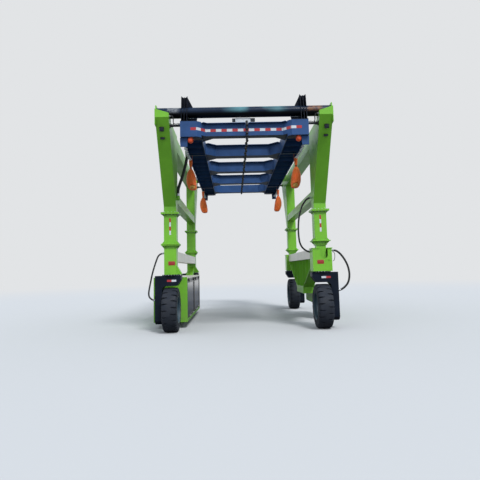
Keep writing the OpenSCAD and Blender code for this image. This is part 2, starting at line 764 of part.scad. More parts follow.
right_route = [[2135.3, 2950, 1925], [2190, 2950, 1925], [2280, 2955, 1905], [2370, 2965, 1830],
               [2460, 2970, 1705], [2530, 2970, 1560], [2570, 2965, 1400], [2570, 2960, 1240],
               [2530, 2950, 1105], [2450, 2935, 1005], [2350, 2925, 940], [2280.3, 2925, 940]];
left_route = [[2048.8, 2950, 1945], [2100, 2950, 1945], [2160, 2960, 1840], [2220, 2965, 1720],
              [2280, 2965, 1600], [2340, 2965, 1470], [2385, 2960, 1330], [2400, 2955, 1180],
              [2390, 2950, 1030], [2370, 2945, 900], [2330, 2935, 790], [2280.3, 2935, 790]];

module hose_front_right() color("black") corners([0], [1]) hose(right_route, 25);
module hose_front_left() color("black") corners([1], [1]) hose(left_route, 20);

// [inboard of the arm's face, height] of the hose that stands between the arm and the spreader
shift_rows = [[38.3, 0], [38.3, 100], [50, 200], [84, 310], [130, 440], [172, 570], [208, 700], [241, 835],
              [264, 945]];
shift_top = [15 - spr_x, -stub_y, spr_z0 - 45 - seat];
shift_route = concat([for (r = shift_rows) [155 - px + r[0], -stub_y, stub_z + seat + r[1]]],
  [shift_top - [0, 0, 60], shift_top]);
lift_route = [[1739.7, -2790, 3300], [1690, -2790, 3300], [1610, -2795, 3260], [1530, -2800, 3170],
              [1460, -2805, 3040], [1410, -2810, 2880], [1375, -2810, 2700], [1360, -2805, 2500],
              [1364, -2790, 2320], [1390, -2750, 2160], [1440, -2710, 2050], [1520, -2660, 1970],
              [1610, -2620, 1920], [1690, -2600, 1900], [1739.7, -2600, 1900]];

module shift_hose() color("black") hose(shift_route, 38);
module lift_hose() color("black") hose(lift_route, 22);

posts();
left_legs();
right_sockets();
slew_rings();
side_beams();
right_girder();
tank();
enclosure_base();
end_panels();
enclosure_frame();
enclosure_roof();
outer_panels();
engine();
hatch_front();
hatch_rear();
pane_front();
pane_rear();
sleeves();
arms();
tie_beams();
cross_tubes();
shift_barrels();
lamps();
longitudinals();
cross_members();
hangers();
shift_rods();
corner_lugs();
junction_box();
beacons();
hose_duct();
lift_chains();
chain_bags();
yoke_front_left();
yoke_front_right();
yoke_rear_left();
yoke_rear_right();
rim_front_left();
rim_front_right();
rim_rear_left();
rim_rear_right();
tyre_front_left();
tyre_front_right();
tyre_rear_left();
tyre_rear_right();
hose_front_left();
hose_front_right();
shift_hose();
lift_hose();
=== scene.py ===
"""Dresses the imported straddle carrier: paint, tread, chains, bags, lamps, hoses, tapes and small fittings.

Metres, +Z up, the front end looks along -Y and the power enclosure is on the left, -X.
Corner pieces are built once for the rear right corner and mirrored to the others.
"""

import logging
import math
from dataclasses import dataclass
from enum import Enum
from typing import Iterable, Sequence

import bmesh
import bpy
import numpy as np
from mathutils import Matrix, Vector


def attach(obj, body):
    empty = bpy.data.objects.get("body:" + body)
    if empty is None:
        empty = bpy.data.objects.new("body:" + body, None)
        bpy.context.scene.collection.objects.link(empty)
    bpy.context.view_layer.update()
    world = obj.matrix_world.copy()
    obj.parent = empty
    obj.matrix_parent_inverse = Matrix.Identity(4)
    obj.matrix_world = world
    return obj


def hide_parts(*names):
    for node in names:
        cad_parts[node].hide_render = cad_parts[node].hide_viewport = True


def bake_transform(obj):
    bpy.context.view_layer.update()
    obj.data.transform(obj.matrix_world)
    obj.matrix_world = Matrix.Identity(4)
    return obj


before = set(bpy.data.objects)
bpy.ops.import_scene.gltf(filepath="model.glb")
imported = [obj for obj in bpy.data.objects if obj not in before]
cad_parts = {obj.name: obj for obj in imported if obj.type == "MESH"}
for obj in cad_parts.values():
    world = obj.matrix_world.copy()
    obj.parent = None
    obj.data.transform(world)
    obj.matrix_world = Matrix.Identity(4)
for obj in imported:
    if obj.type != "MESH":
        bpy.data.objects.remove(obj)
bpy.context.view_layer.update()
LOG = logging.getLogger("straddle_carrier")

Vec = Sequence[float]
Tone = tuple[float, float, float]
Profile = Sequence[tuple[float, float]]
Socket = bpy.types.NodeSocket
BOTH = (-1, 1)
# The middle of the rear right leg, half a sleeve's width, and the height of the wheels' axles.
LEG_X = 1.895
LEG_Y = 2.860
LEG_HALF = 0.156
AXLE_Z = 0.545


class Corner(Enum):
    """The four corners, each with its signs along X and Y."""

    REAR_RIGHT = ("rear_right", 1, 1)
    REAR_LEFT = ("rear_left", -1, 1)
    FRONT_RIGHT = ("front_right", 1, -1)
    FRONT_LEFT = ("front_left", -1, -1)

    @property
    def label(self) -> str:
        """The corner's name as it stands in the names of nodes and bodies."""
        return self.value[0]

    @property
    def mirror(self) -> Matrix:
        """The matrix that carries a rear right piece to this corner."""
        return Matrix.Diagonal((self.value[1], self.value[2], 1, 1))


def srgb(red: float, green: float, blue: float) -> tuple[float, float, float, float]:
    """Turns a colour written as on screen, 0 to 255, into linear light.

    Args:
        red: red from 0 to 255.
        green: green from 0 to 255.
        blue: blue from 0 to 255.

    Returns:
        The linear colour with alpha 1.
    """
    out = []
    for part in (red, green, blue):
        c = part / 255
        out.append(c / 12.92 if c <= 0.04045 else ((c + 0.055) / 1.055) ** 2.4)
    return (out[0], out[1], out[2], 1.0)


def dimmed(tone: Vec, share: float) -> tuple[float, float, float, float]:
    """A linear colour scaled by share, with alpha 1."""
    return (tone[0] * share, tone[1] * share, tone[2] * share, 1.0)


def unit(value: float) -> float:
    """The value kept between 0 and 1."""
    return min(max(value, 0.0), 1.0)


def ring(count: int, radius: float, first: float = 0.0) -> list[tuple[float, float]]:
    """Points spread evenly round a circle, from that share of a step on."""
    angles = (2 * math.pi * (k + first) / count for k in range(count))
    return [(radius * math.cos(a), radius * math.sin(a)) for a in angles]


class Graph:
    """Adds and wires shader nodes in one tree."""

    def __init__(self, tree: bpy.types.NodeTree) -> None:
        """Keeps the tree that the nodes go into."""
        self.tree = tree

    def feed(self, value: object, into: Socket) -> None:
        """Links a socket into another one, or sets that one's plain value.

        Args:
            value: the socket or the plain value.
            into: the input that it goes into.
        """
        if isinstance(value, Socket):
            self.tree.links.new(value, into)
        else:
            into.default_value = value

    def add(self, kind: str, inputs: dict | None = None, **settings: object) -> bpy.types.Node:
        """Adds a node.

        Args:
            kind: the node's Blender type.
            inputs: values or sockets for its inputs, by name or number.
            **settings: attributes of the node itself.

        Returns:
            The node.
        """
        node = self.tree.nodes.new(kind)
        for key, value in settings.items():
            setattr(node, key, value)
        for key, value in (inputs or {}).items():
            self.feed(value, node.inputs[key])
        return node

    def group(self, tree: bpy.types.NodeTree, inputs: dict) -> dict[str, Socket]:
        """Places a shared group with its values and gives back its outputs by name."""
        return self.add("ShaderNodeGroup", inputs, node_tree=tree).outputs

    def place(self) -> Socket:
        """The point in the part's own frame."""
        return self.add("ShaderNodeTexCoord").outputs["Object"]

    def part(self, value: Socket, axis: str) -> Socket:
        """One of a vector's parts, X, Y or Z."""
        return self.add("ShaderNodeSeparateXYZ", {0: value}).outputs[axis]

    def upward(self) -> Socket:
        """The Z of the face's normal: 1 looks up, -1 looks down."""
        return self.part(self.add("ShaderNodeNewGeometry").outputs["Normal"], "Z")

    def lean(self, low: float, high: float) -> Socket:
        """How far a face looks up, from 0 below the low value of its normal's Z to 1 above the high one."""
        return self.step(self.upward(), low, high)

    def math(self, op: str, a: object, b: object = 0.0, clamp: bool = False) -> Socket:
        """A Math node's result for two values or sockets."""
        return self.add("ShaderNodeMath", {0: a, 1: b}, operation=op, use_clamp=clamp).outputs[0]

    def times(self, a: object, b: object, clamp: bool = False) -> Socket:
        """The product of two values or sockets."""
        return self.math("MULTIPLY", a, b, clamp)

    def step(self, value: object, low: float, high: float, to: Vec = (0.0, 1.0)) -> Socket:
        """A smooth rise from to[0] at low to to[1] at high."""
        ends = {"Value": value, "From Min": low, "From Max": high, "To Min": to[0], "To Max": to[1]}
        return self.add("ShaderNodeMapRange", ends, interpolation_type="SMOOTHSTEP").outputs[0]

    def blend(self, factor: object, a: object, b: object) -> Socket:
        """A colour mix.

        Args:
            factor: 0 for all a, 1 for all b.
            a: the first colour or socket.
            b: the second colour or socket.

        Returns:
            The mixed colour.
        """
        node = self.tree.nodes.new("ShaderNodeMix")
        node.data_type = "RGBA"
        sockets = {s.identifier: s for s in node.inputs}
        for key, value in (("Factor_Float", factor), ("A_Color", a), ("B_Color", b)):
            self.feed(value, sockets[key])
        return next(s for s in node.outputs if s.identifier == "Result_Color")

    def noise(self, where: object, scale: object, detail: float = 3.0, rough: float = 0.5) -> Socket:
        """A noise texture's value at where."""
        return self.add("ShaderNodeTexNoise", {"Vector": where, "Scale": scale, "Detail": detail,
                                               "Roughness": rough}).outputs["Fac"]


class Effects:
    """The shader node groups that several finishes share, each built once."""

    def __init__(self) -> None:
        """Builds the groups."""
        self.grain = self._grain()
        self.wear = self._wear()
        self.grime = self._grime()
        self.weave = self._weave()

    @staticmethod
    def _group(name: str, inputs: dict[str, float], outputs: Iterable[str]) -> tuple[Graph, dict, bpy.types.Node]:
        """Starts a group with float sockets.

        Args:
            name: the group's name.
            inputs: input names with their first values.
            outputs: output names.

        Returns:
            The graph, the input sockets by name, and the output node.
        """
        tree = bpy.data.node_groups.new(name, "ShaderNodeTree")
        for key, value in inputs.items():
            tree.interface.new_socket(key, in_out="INPUT", socket_type="NodeSocketFloat").default_value = value
        for key in outputs:
            tree.interface.new_socket(key, in_out="OUTPUT", socket_type="NodeSocketFloat")
        graph = Graph(tree)
        start = graph.add("NodeGroupInput")
        return graph, {key: start.outputs[key] for key in inputs}, graph.add("NodeGroupOutput")

    def _grain(self) -> bpy.types.NodeTree:
        """Two scales of noise: broad patches and a fine skin.

        Returns:
            The group.
        """
        g, into, out = self._group("fine_grain", {"Broad Scale": 3.0, "Fine Scale": 120.0},
                                   ("Patches", "Skin"))
        where = g.place()
        g.feed(g.noise(where, into["Broad Scale"], 4.0, 0.6), out.inputs["Patches"])
        g.feed(g.noise(where, into["Fine Scale"], 2.0, 0.5), out.inputs["Skin"])
        return g.tree

    def _wear(self) -> bpy.types.NodeTree:
        """Rubbed edges: where a rounded normal leaves the flat one, broken up by noise.

        Returns:
            The group.
        """
        g, into, out = self._group("edge_wear", {"Radius": 0.006, "Reach": 0.5, "Break Up": 18.0}, ("Mask",))
        round_normal = g.add("ShaderNodeBevel", {"Radius": into["Radius"]}, samples=4).outputs[0]
        flat_normal = g.add("ShaderNodeNewGeometry").outputs["Normal"]
        dot = g.add("ShaderNodeVectorMath", {0: round_normal, 1: flat_normal}, operation="DOT_PRODUCT")
        bend = g.math("SUBTRACT", 1.0, dot.outputs["Value"])
        chips = g.noise(g.place(), into["Break Up"], 5.0, 0.7)
        level = g.times(g.times(bend, into["Reach"]), g.step(chips, 0.42, 0.68, (0.0, 6.0)))
        g.feed(g.step(level, 0.15, 0.75), out.inputs["Mask"])
        return g.tree

    def _grime(self) -> bpy.types.NodeTree:
        """Road dust that thins out with height, and rain streaks down upright faces.

        Returns:
            The group.
        """
        g, into, out = self._group("road_grime", {"Top": 1.2, "Strength": 0.5, "Streak Scale": 9.0},
                                   ("Dust", "Streaks"))
        where = g.place()
        fall = g.math("SUBTRACT", 1.0, g.math("DIVIDE", g.part(where, "Z"), into["Top"], True), True)
        patch = g.step(g.noise(where, 6.0, 6.0, 0.65), 0.3, 0.75)
        dust = g.times(g.times(fall, patch), into["Strength"], True)
        g.feed(dust, out.inputs["Dust"])
        thin = g.add("ShaderNodeMapping", {"Vector": where, "Scale": (1.0, 1.0, 0.06)}).outputs[0]
        steep = g.step(g.math("ABSOLUTE", g.upward()), 0.15, 0.5, (1.0, 0.0))
        lines = g.step(g.noise(thin, into["Streak Scale"], 5.0, 0.7), 0.52, 0.78)
        g.feed(g.times(g.times(lines, steep), into["Strength"], True), out.inputs["Streaks"])
        return g.tree

    def _weave(self) -> bpy.types.NodeTree:
        """Plain weave: two crossing sets of threads, one over the other.

        Returns:
            The group.
        """
        g, into, out = self._group("plain_weave", {"Threads": 260.0}, ("Height", "Over"))
        where = g.place()
        wander = g.add("ShaderNodeTexNoise", {"Vector": where, "Scale": 9.0}).outputs["Color"]
        shift = g.add("ShaderNodeVectorMath", {0: wander, "Scale": 0.02}, operation="SCALE").outputs[0]
        bent = g.add("ShaderNodeVectorMath", {0: where, 1: shift}, operation="ADD").outputs[0]
        xyz = g.add("ShaderNodeSeparateXYZ", {0: bent}).outputs
        around = g.math("ADD", xyz["X"], xyz["Y"])
        warp = g.math("SINE", g.times(around, into["Threads"]))
        weft = g.math("SINE", g.times(xyz["Z"], into["Threads"]))
        over = g.times(warp, weft)
        rise = g.math("ADD", g.math("ABSOLUTE", warp), g.math("ABSOLUTE", weft))
        g.feed(g.times(rise, 0.5), out.inputs["Height"])
        g.feed(g.step(over, -0.6, 0.6), out.inputs["Over"])
        return g.tree


class Finish:
    """A material's recipe. Each kind is a frozen dataclass that says what feeds the shader."""

    name: str
    broad: float
    fine: float
    bump: float
    relief: float

    def sockets(self, g: Graph, effects: Effects, patches: Socket) -> dict[str, object]:
        """What feeds the shader.

        Args:
            g: the material's graph.
            effects: the shared groups.
            patches: the grain's broad patches.

        Returns:
            Sockets and plain values by input, and the bump's Height where it isn't the grain's skin.
        """
        raise NotImplementedError

    def build(self, effects: Effects) -> bpy.types.Material:
        """Builds the material.

        Args:
            effects: the shared groups.

        Returns:
            The material.
        """
        material, g, shader = new_material(self.name)
        grain = g.group(effects.grain, {"Broad Scale": self.broad, "Fine Scale": self.fine})
        values = self.sockets(g, effects, grain["Patches"])
        height = values.pop("Height", grain["Skin"])
        bump = g.add("ShaderNodeBump", {"Height": height, "Distance": self.bump, "Strength": self.relief})
        for key, value in {**values, "Normal": bump.outputs[0]}.items():
            g.feed(value, shader.inputs[key])
        return material


@dataclass(frozen=True)
class PaintFinish(Finish):
    """Sprayed paint on steel: patchy tone, orange peel, rubbed edges, dust, rain streaks, and painted shade on the
    undersides.
    """

    name: str
    tone: Tone
    dim: float = 0.86
    rough: float = 0.38
    coat: float = 0.25
    worn: Tone = (120, 116, 108)
    streak: Tone = (70, 66, 60)
    dirt: Tone = (126, 116, 102)
    reach: float = 1.0
    dust_top: float = 1.5
    dust: float = 0.35
    shine: float = 0.4
    # How strongly faces that look down get painted shade.
    under: float = 0.25
    broad: float = 2.2
    fine: float = 160.0
    bump: float = 0.00035
    relief: float = 0.6

    def sockets(self, g: Graph, effects: Effects, patches: Socket) -> dict[str, object]:
        """Lays streaks, dust, soot and wear over the patchy tone.

        Args:
            g: the material's graph.
            effects: the shared groups.
            patches: the grain's broad patches.

        Returns:
            Sockets and plain values by input.
        """
        wear = g.group(effects.wear, {"Reach": self.reach})["Mask"]
        grime = g.group(effects.grime, {"Top": self.dust_top, "Strength": self.dust})
        tone = srgb(*self.tone)
        body = g.blend(g.step(patches, 0.3, 0.7), dimmed(tone, self.dim), tone)
        body = g.blend(g.times(grime["Streaks"], 0.35), body, srgb(*self.streak))
        body = g.blend(grime["Dust"], body, srgb(*self.dirt))
        # Painted shade: faces that look down are darkened towards 0.12 of the tone, by the share under.
        below = g.math("SUBTRACT", 1.0, g.lean(-0.95, -0.5))
        body = g.blend(g.times(below, self.under), body, dimmed(tone, 0.12))
        rough = g.math("ADD", g.step(patches, 0.2, 0.8, (self.rough - 0.05, self.rough + 0.08)),
                       g.times(grime["Dust"], 0.4), True)
        return {"Base Color": g.blend(wear, body, srgb(*self.worn)), "Roughness": rough,
                "Specular IOR Level": self.shine, "Coat Weight": self.coat, "Coat Roughness": 0.12}


@dataclass(frozen=True)
class TubeFinish(Finish):
    """The cross tubes: dark paint with a painted teal sky reflection along the middle and painted shade on the lower
    half, rubbed bare at the left end and rusty at the right.
    """

    name: str
    tone: Tone
    belly: Tone = (3, 6, 12)
    bloom: Tone = (78, 124, 134)
    bare: Tone = (116, 120, 126)
    rust: Tone = (116, 80, 58)
    shine: float = 0.15
    broad: float = 2.4
    fine: float = 180.0
    bump: float = 0.0005
    relief: float = 0.6

    def sockets(self, g: Graph, effects: Effects, patches: Socket) -> dict[str, object]:
        """Lays the painted sky reflection, both worn bands and the painted shade of the lower half over the tone.

        Args:
            g: the material's graph.
            effects: the shared groups.
            patches: the grain's broad patches.

        Returns:
            Sockets and plain values by input.
        """
        where = g.place()
        along = g.part(where, "X")
        ragged = g.math("ADD", along, g.times(g.noise(where, 7.0, 5.0, 0.7), 0.34))
        tone = srgb(*self.tone)
        body = g.blend(g.step(patches, 0.3, 0.7), dimmed(tone, 0.6), tone)
        # Painted sky reflection: a teal sheen in soft patches along the tube's middle.
        middle = g.times(g.step(along, -0.6, 0.0), g.step(along, 0.7, 1.1, (1.0, 0.0)))
        soft = g.step(g.noise(where, 1.7, 1.5, 0.4), 0.36, 0.60)
        body = g.blend(g.times(middle, soft), body, srgb(*self.bloom))
        left = g.times(g.step(ragged, -1.66, -1.60), g.step(ragged, -1.36, -1.30, (1.0, 0.0)))
        right = g.times(g.step(ragged, 1.60, 1.68), g.step(ragged, 1.96, 2.04, (1.0, 0.0)))
        speck = g.step(g.noise(where, 14.0, 4.0, 0.6), 0.30, 0.62)
        body = g.blend(g.times(left, speck), body, srgb(*self.bare))
        body = g.blend(g.times(right, speck), body, srgb(*self.rust))
        # Painted shade: faces that look down turn almost black.
        return {"Base Color": g.blend(g.lean(-0.5, 0.15), srgb(*self.belly), body),
                "Roughness": g.step(patches, 0.2, 0.8, (0.24, 0.42)),
                "Metallic": g.times(g.times(left, speck), 0.35), "Specular IOR Level": self.shine}


@dataclass(frozen=True)
class MetalFinish(Finish):
    """Bare metal: rods darkened with painted shade, zinc on chains and bolts, or rusty exhaust pipes."""

    name: str
    tone: Tone
    stain: Tone
    rough: float = 0.25
    spread: tuple[float, float] = (0.45, 0.75)
    metal: tuple[float, float] = (0.95, 0.35)
    broad: float = 9.0
    fine: float = 220.0
    bump: float = 0.0003
    relief: float = 0.5

    def sockets(self, g: Graph, effects: Effects, patches: Socket) -> dict[str, object]:
        """Stains the metal in patches, which are rougher and duller.

        Args:
            g: the material's graph.
            effects: the shared groups.
            patches: the grain's broad patches.

        Returns:
            Sockets by input.
        """
        mask = g.step(patches, *self.spread)
        return {"Base Color": g.blend(mask, srgb(*self.tone), srgb(*self.stain)),
                "Roughness": g.step(mask, 0.0, 1.0, (self.rough, self.rough + 0.35)),
                "Metallic": g.step(mask, 0.0, 1.0, self.metal)}


@dataclass(frozen=True)
class RubberFinish(Finish):
    """Rubber or moulded plastic: matt, dusty in the low places, finely grained."""

    name: str
    tone: Tone
    dust_tone: Tone = (112, 104, 94)
    rough: float = 0.78
    dust: float = 0.55
    dust_top: float = 1.4
    broad: float = 7.0
    fine: float = 300.0
    bump: float = 0.0006
    relief: float = 0.7

    def sockets(self, g: Graph, effects: Effects, patches: Socket) -> dict[str, object]:
        """Lays dust over the patchy tone.

        Args:
            g: the material's graph.
            effects: the shared groups.
            patches: the grain's broad patches.

        Returns:
            Sockets by input.
        """
        dust = g.group(effects.grime, {"Top": self.dust_top, "Strength": self.dust})["Dust"]
        tone = srgb(*self.tone)
        body = g.blend(g.step(patches, 0.3, 0.7), dimmed(tone, 0.7), tone)
        return {"Base Color": g.blend(dust, body, srgb(*self.dust_tone)),
                "Roughness": g.step(patches, 0.2, 0.8, (self.rough - 0.08, self.rough + 0.1))}


@dataclass(frozen=True)
class FabricFinish(Finish):
    """Coated sack cloth: plain weave, faded patches, a soft sheen."""

    name: str
    tone: Tone
    faded: Tone
    threads: float = 900.0
    broad: float = 5.0
    fine: float = 90.0
    bump: float = 0.0008
    relief: float = 0.6

    def sockets(self, g: Graph, effects: Effects, patches: Socket) -> dict[str, object]:
        """Lays the weave over the faded patches.

        Args:
            g: the material's graph.
            effects: the shared groups.
            patches: the grain's broad patches.

        Returns:
            Sockets and plain values by input, with the weave's Height.
        """
        weave = g.group(effects.weave, {"Threads": self.threads})
        tone = srgb(*self.tone)
        cloth = g.blend(g.step(patches, 0.35, 0.75), tone, srgb(*self.faded))
        return {"Base Color": g.blend(g.times(weave["Over"], 0.35), cloth, dimmed(tone, 0.72)),
                "Roughness": g.step(patches, 0.2, 0.8, (0.62, 0.85)), "Sheen Weight": 0.3,
                "Height": weave["Height"]}


@dataclass(frozen=True)
class GlassFinish(Finish):
    """Tinted safety glass with patches of lighter blue that are a painted sky sheen, or a dark lens with a thin
    layer of dust.
    """

    name: str
    tone: Tone
    transmission: float = 0.8
    film: Tone = (120, 124, 128)
    film_share: float = 0.12
    rough: float = 0.05
    shine: float = 0.5
    broad: float = 3.0
    fine: float = 60.0
    bump: float = 0.0001
    relief: float = 0.2

    def sockets(self, g: Graph, effects: Effects, patches: Socket) -> dict[str, object]:
        """Lays the patches over the tint: a thin layer of dust on the lens, a painted sky sheen on the tinted glass.

        Args:
            g: the material's graph.
            effects: the shared groups.
            patches: the grain's broad patches.

        Returns:
            Sockets and plain values by input.
        """
        film = g.step(patches, 0.4, 0.8, (0.0, self.film_share))
        return {"Base Color": g.blend(film, srgb(*self.tone), srgb(*self.film)),
                "Roughness": g.step(patches, 0.3, 0.8, (self.rough, self.rough + 0.12)),
                "Transmission Weight": self.transmission, "IOR": 1.45, "Specular IOR Level": self.shine}


def new_material(name: str) -> tuple[bpy.types.Material, Graph, bpy.types.Node]:
    """Starts a material.

    Args:
        name: its name.

    Returns:
        The material, its graph and its Principled shader.
    """
    material = bpy.data.materials.new(f"{name}_look")
    material.use_nodes = True
    return material, Graph(material.node_tree), material.node_tree.nodes["Principled BSDF"]


class Palette:
    """Every finish on the machine, by name."""

    FINISHES = (
        PaintFinish("lime_paint", (112, 180, 42), dim=0.88, coat=0.1),
        PaintFinish("lime_panel", (106, 174, 42), dim=0.92, coat=0.1, reach=0.6, dust=0.3),
        PaintFinish("navy_paint", (10, 22, 38), dim=0.7, rough=0.42, coat=0.0, dust=0.05,
                    worn=(60, 70, 84), shine=0.15),
        # Painted shade: these undersides are darkened strongly.
        PaintFinish("slate_paint", (44, 78, 128), dim=0.70, rough=0.5, under=0.85, coat=0.0, dust=0.0,
                    worn=(84, 90, 98), shine=0.2),
        PaintFinish("hanger_paint", (8, 15, 30), dim=0.6, rough=0.5, coat=0.0, dust=0.0, worn=(44, 54, 72),
                    shine=0.1),
        PaintFinish("cream_paint", (222, 218, 206), dim=0.9, rough=0.5, dust=0.25),
        PaintFinish("white_paint", (206, 212, 216), dim=0.9, rough=0.4, dust=0.0),
        TubeFinish("tube_paint", (12, 34, 60)),
        PaintFinish("frame_black", (24, 25, 28), dim=0.7, rough=0.45, worn=(90, 90, 92)),
        PaintFinish("cast_grey", (96, 100, 104), dim=0.75, rough=0.6, coat=0.0),
        # Painted shade: the rims' silver-grey is darkened and blued to their look in shade.
        PaintFinish("rim_paint", (54, 80, 94), dim=0.8, rough=0.4, dust=0.2, worn=(84, 80, 76)),
        PaintFinish("lamp_black", (20, 20, 22), dim=0.8, rough=0.5),
        PaintFinish("red_plate", (152, 40, 36), dim=0.85, rough=0.35, reach=0.3, dust=0.2),
        PaintFinish("tape_red", (170, 38, 44), dim=0.9, rough=0.3, reach=0.2, dust=0.2),
        PaintFinish("tape_white", (198, 203, 210), dim=0.93, rough=0.3, reach=0.2, dust=0.2),
        # Painted shade: the chrome rods' steel is darkened to their look in shade.
        MetalFinish("bright_steel", (58, 62, 68), (34, 34, 36), rough=0.3, spread=(0.45, 0.8)),
        MetalFinish("galvanised", (196, 200, 206), (124, 122, 118), rough=0.36),
        MetalFinish("chain_zinc", (232, 236, 242), (150, 150, 152), rough=0.42, metal=(0.45, 0.2)),
        MetalFinish("worn_steel", (176, 172, 164), (116, 74, 50), rough=0.34, spread=(0.44, 0.62), broad=5.0),
        # Painted sky reflection: the black rubber has a blue cast.
        RubberFinish("tyre", (15, 25, 40), dust_tone=(80, 82, 86), dust=0.2),
        RubberFinish("hose_rubber", (24, 25, 28), rough=0.6, dust=0.25),
        RubberFinish("seal_rubber", (16, 16, 18), rough=0.7, dust=0.2),
        # Painted sky sheen: lighter blue patches on the tinted panes.
        GlassFinish("tinted_glass", (18, 34, 66), transmission=0.4, film=(40, 62, 100), shine=0.12),
        GlassFinish("lens", (64, 72, 82), transmission=0.3, film_share=0.05),
        FabricFinish("orange_fabric", (250, 106, 26), (222, 120, 50)),
        FabricFinish("orange_webbing", (220, 84, 20), (190, 96, 44), threads=600.0),
        FabricFinish("bag_patch", (206, 158, 74), (178, 132, 70)),
        RubberFinish("orange_plastic", (222, 78, 30), dust_tone=(190, 120, 84), rough=0.5, dust=0.2),
    )

    def __init__(self) -> None:
        """Builds every material."""
        effects = Effects()
        self._made = {finish.name: finish.build(effects) for finish in self.FINISHES}

    def __getitem__(self, name: str) -> bpy.types.Material:
        """The material of that name."""
        return self._made[name]

    def dress(self, node: str, name: str) -> bpy.types.Object:
        """Gives a carried-over CAD node a finish.

        Args:
            node: the node's name.
            name: the finish's name.

        Returns:
            The node's object.
        """
        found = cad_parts[node]
        if not found.material_slots:
            found.data.materials.append(self[name])
        for slot in found.material_slots:
            slot.material = self[name]
        return found


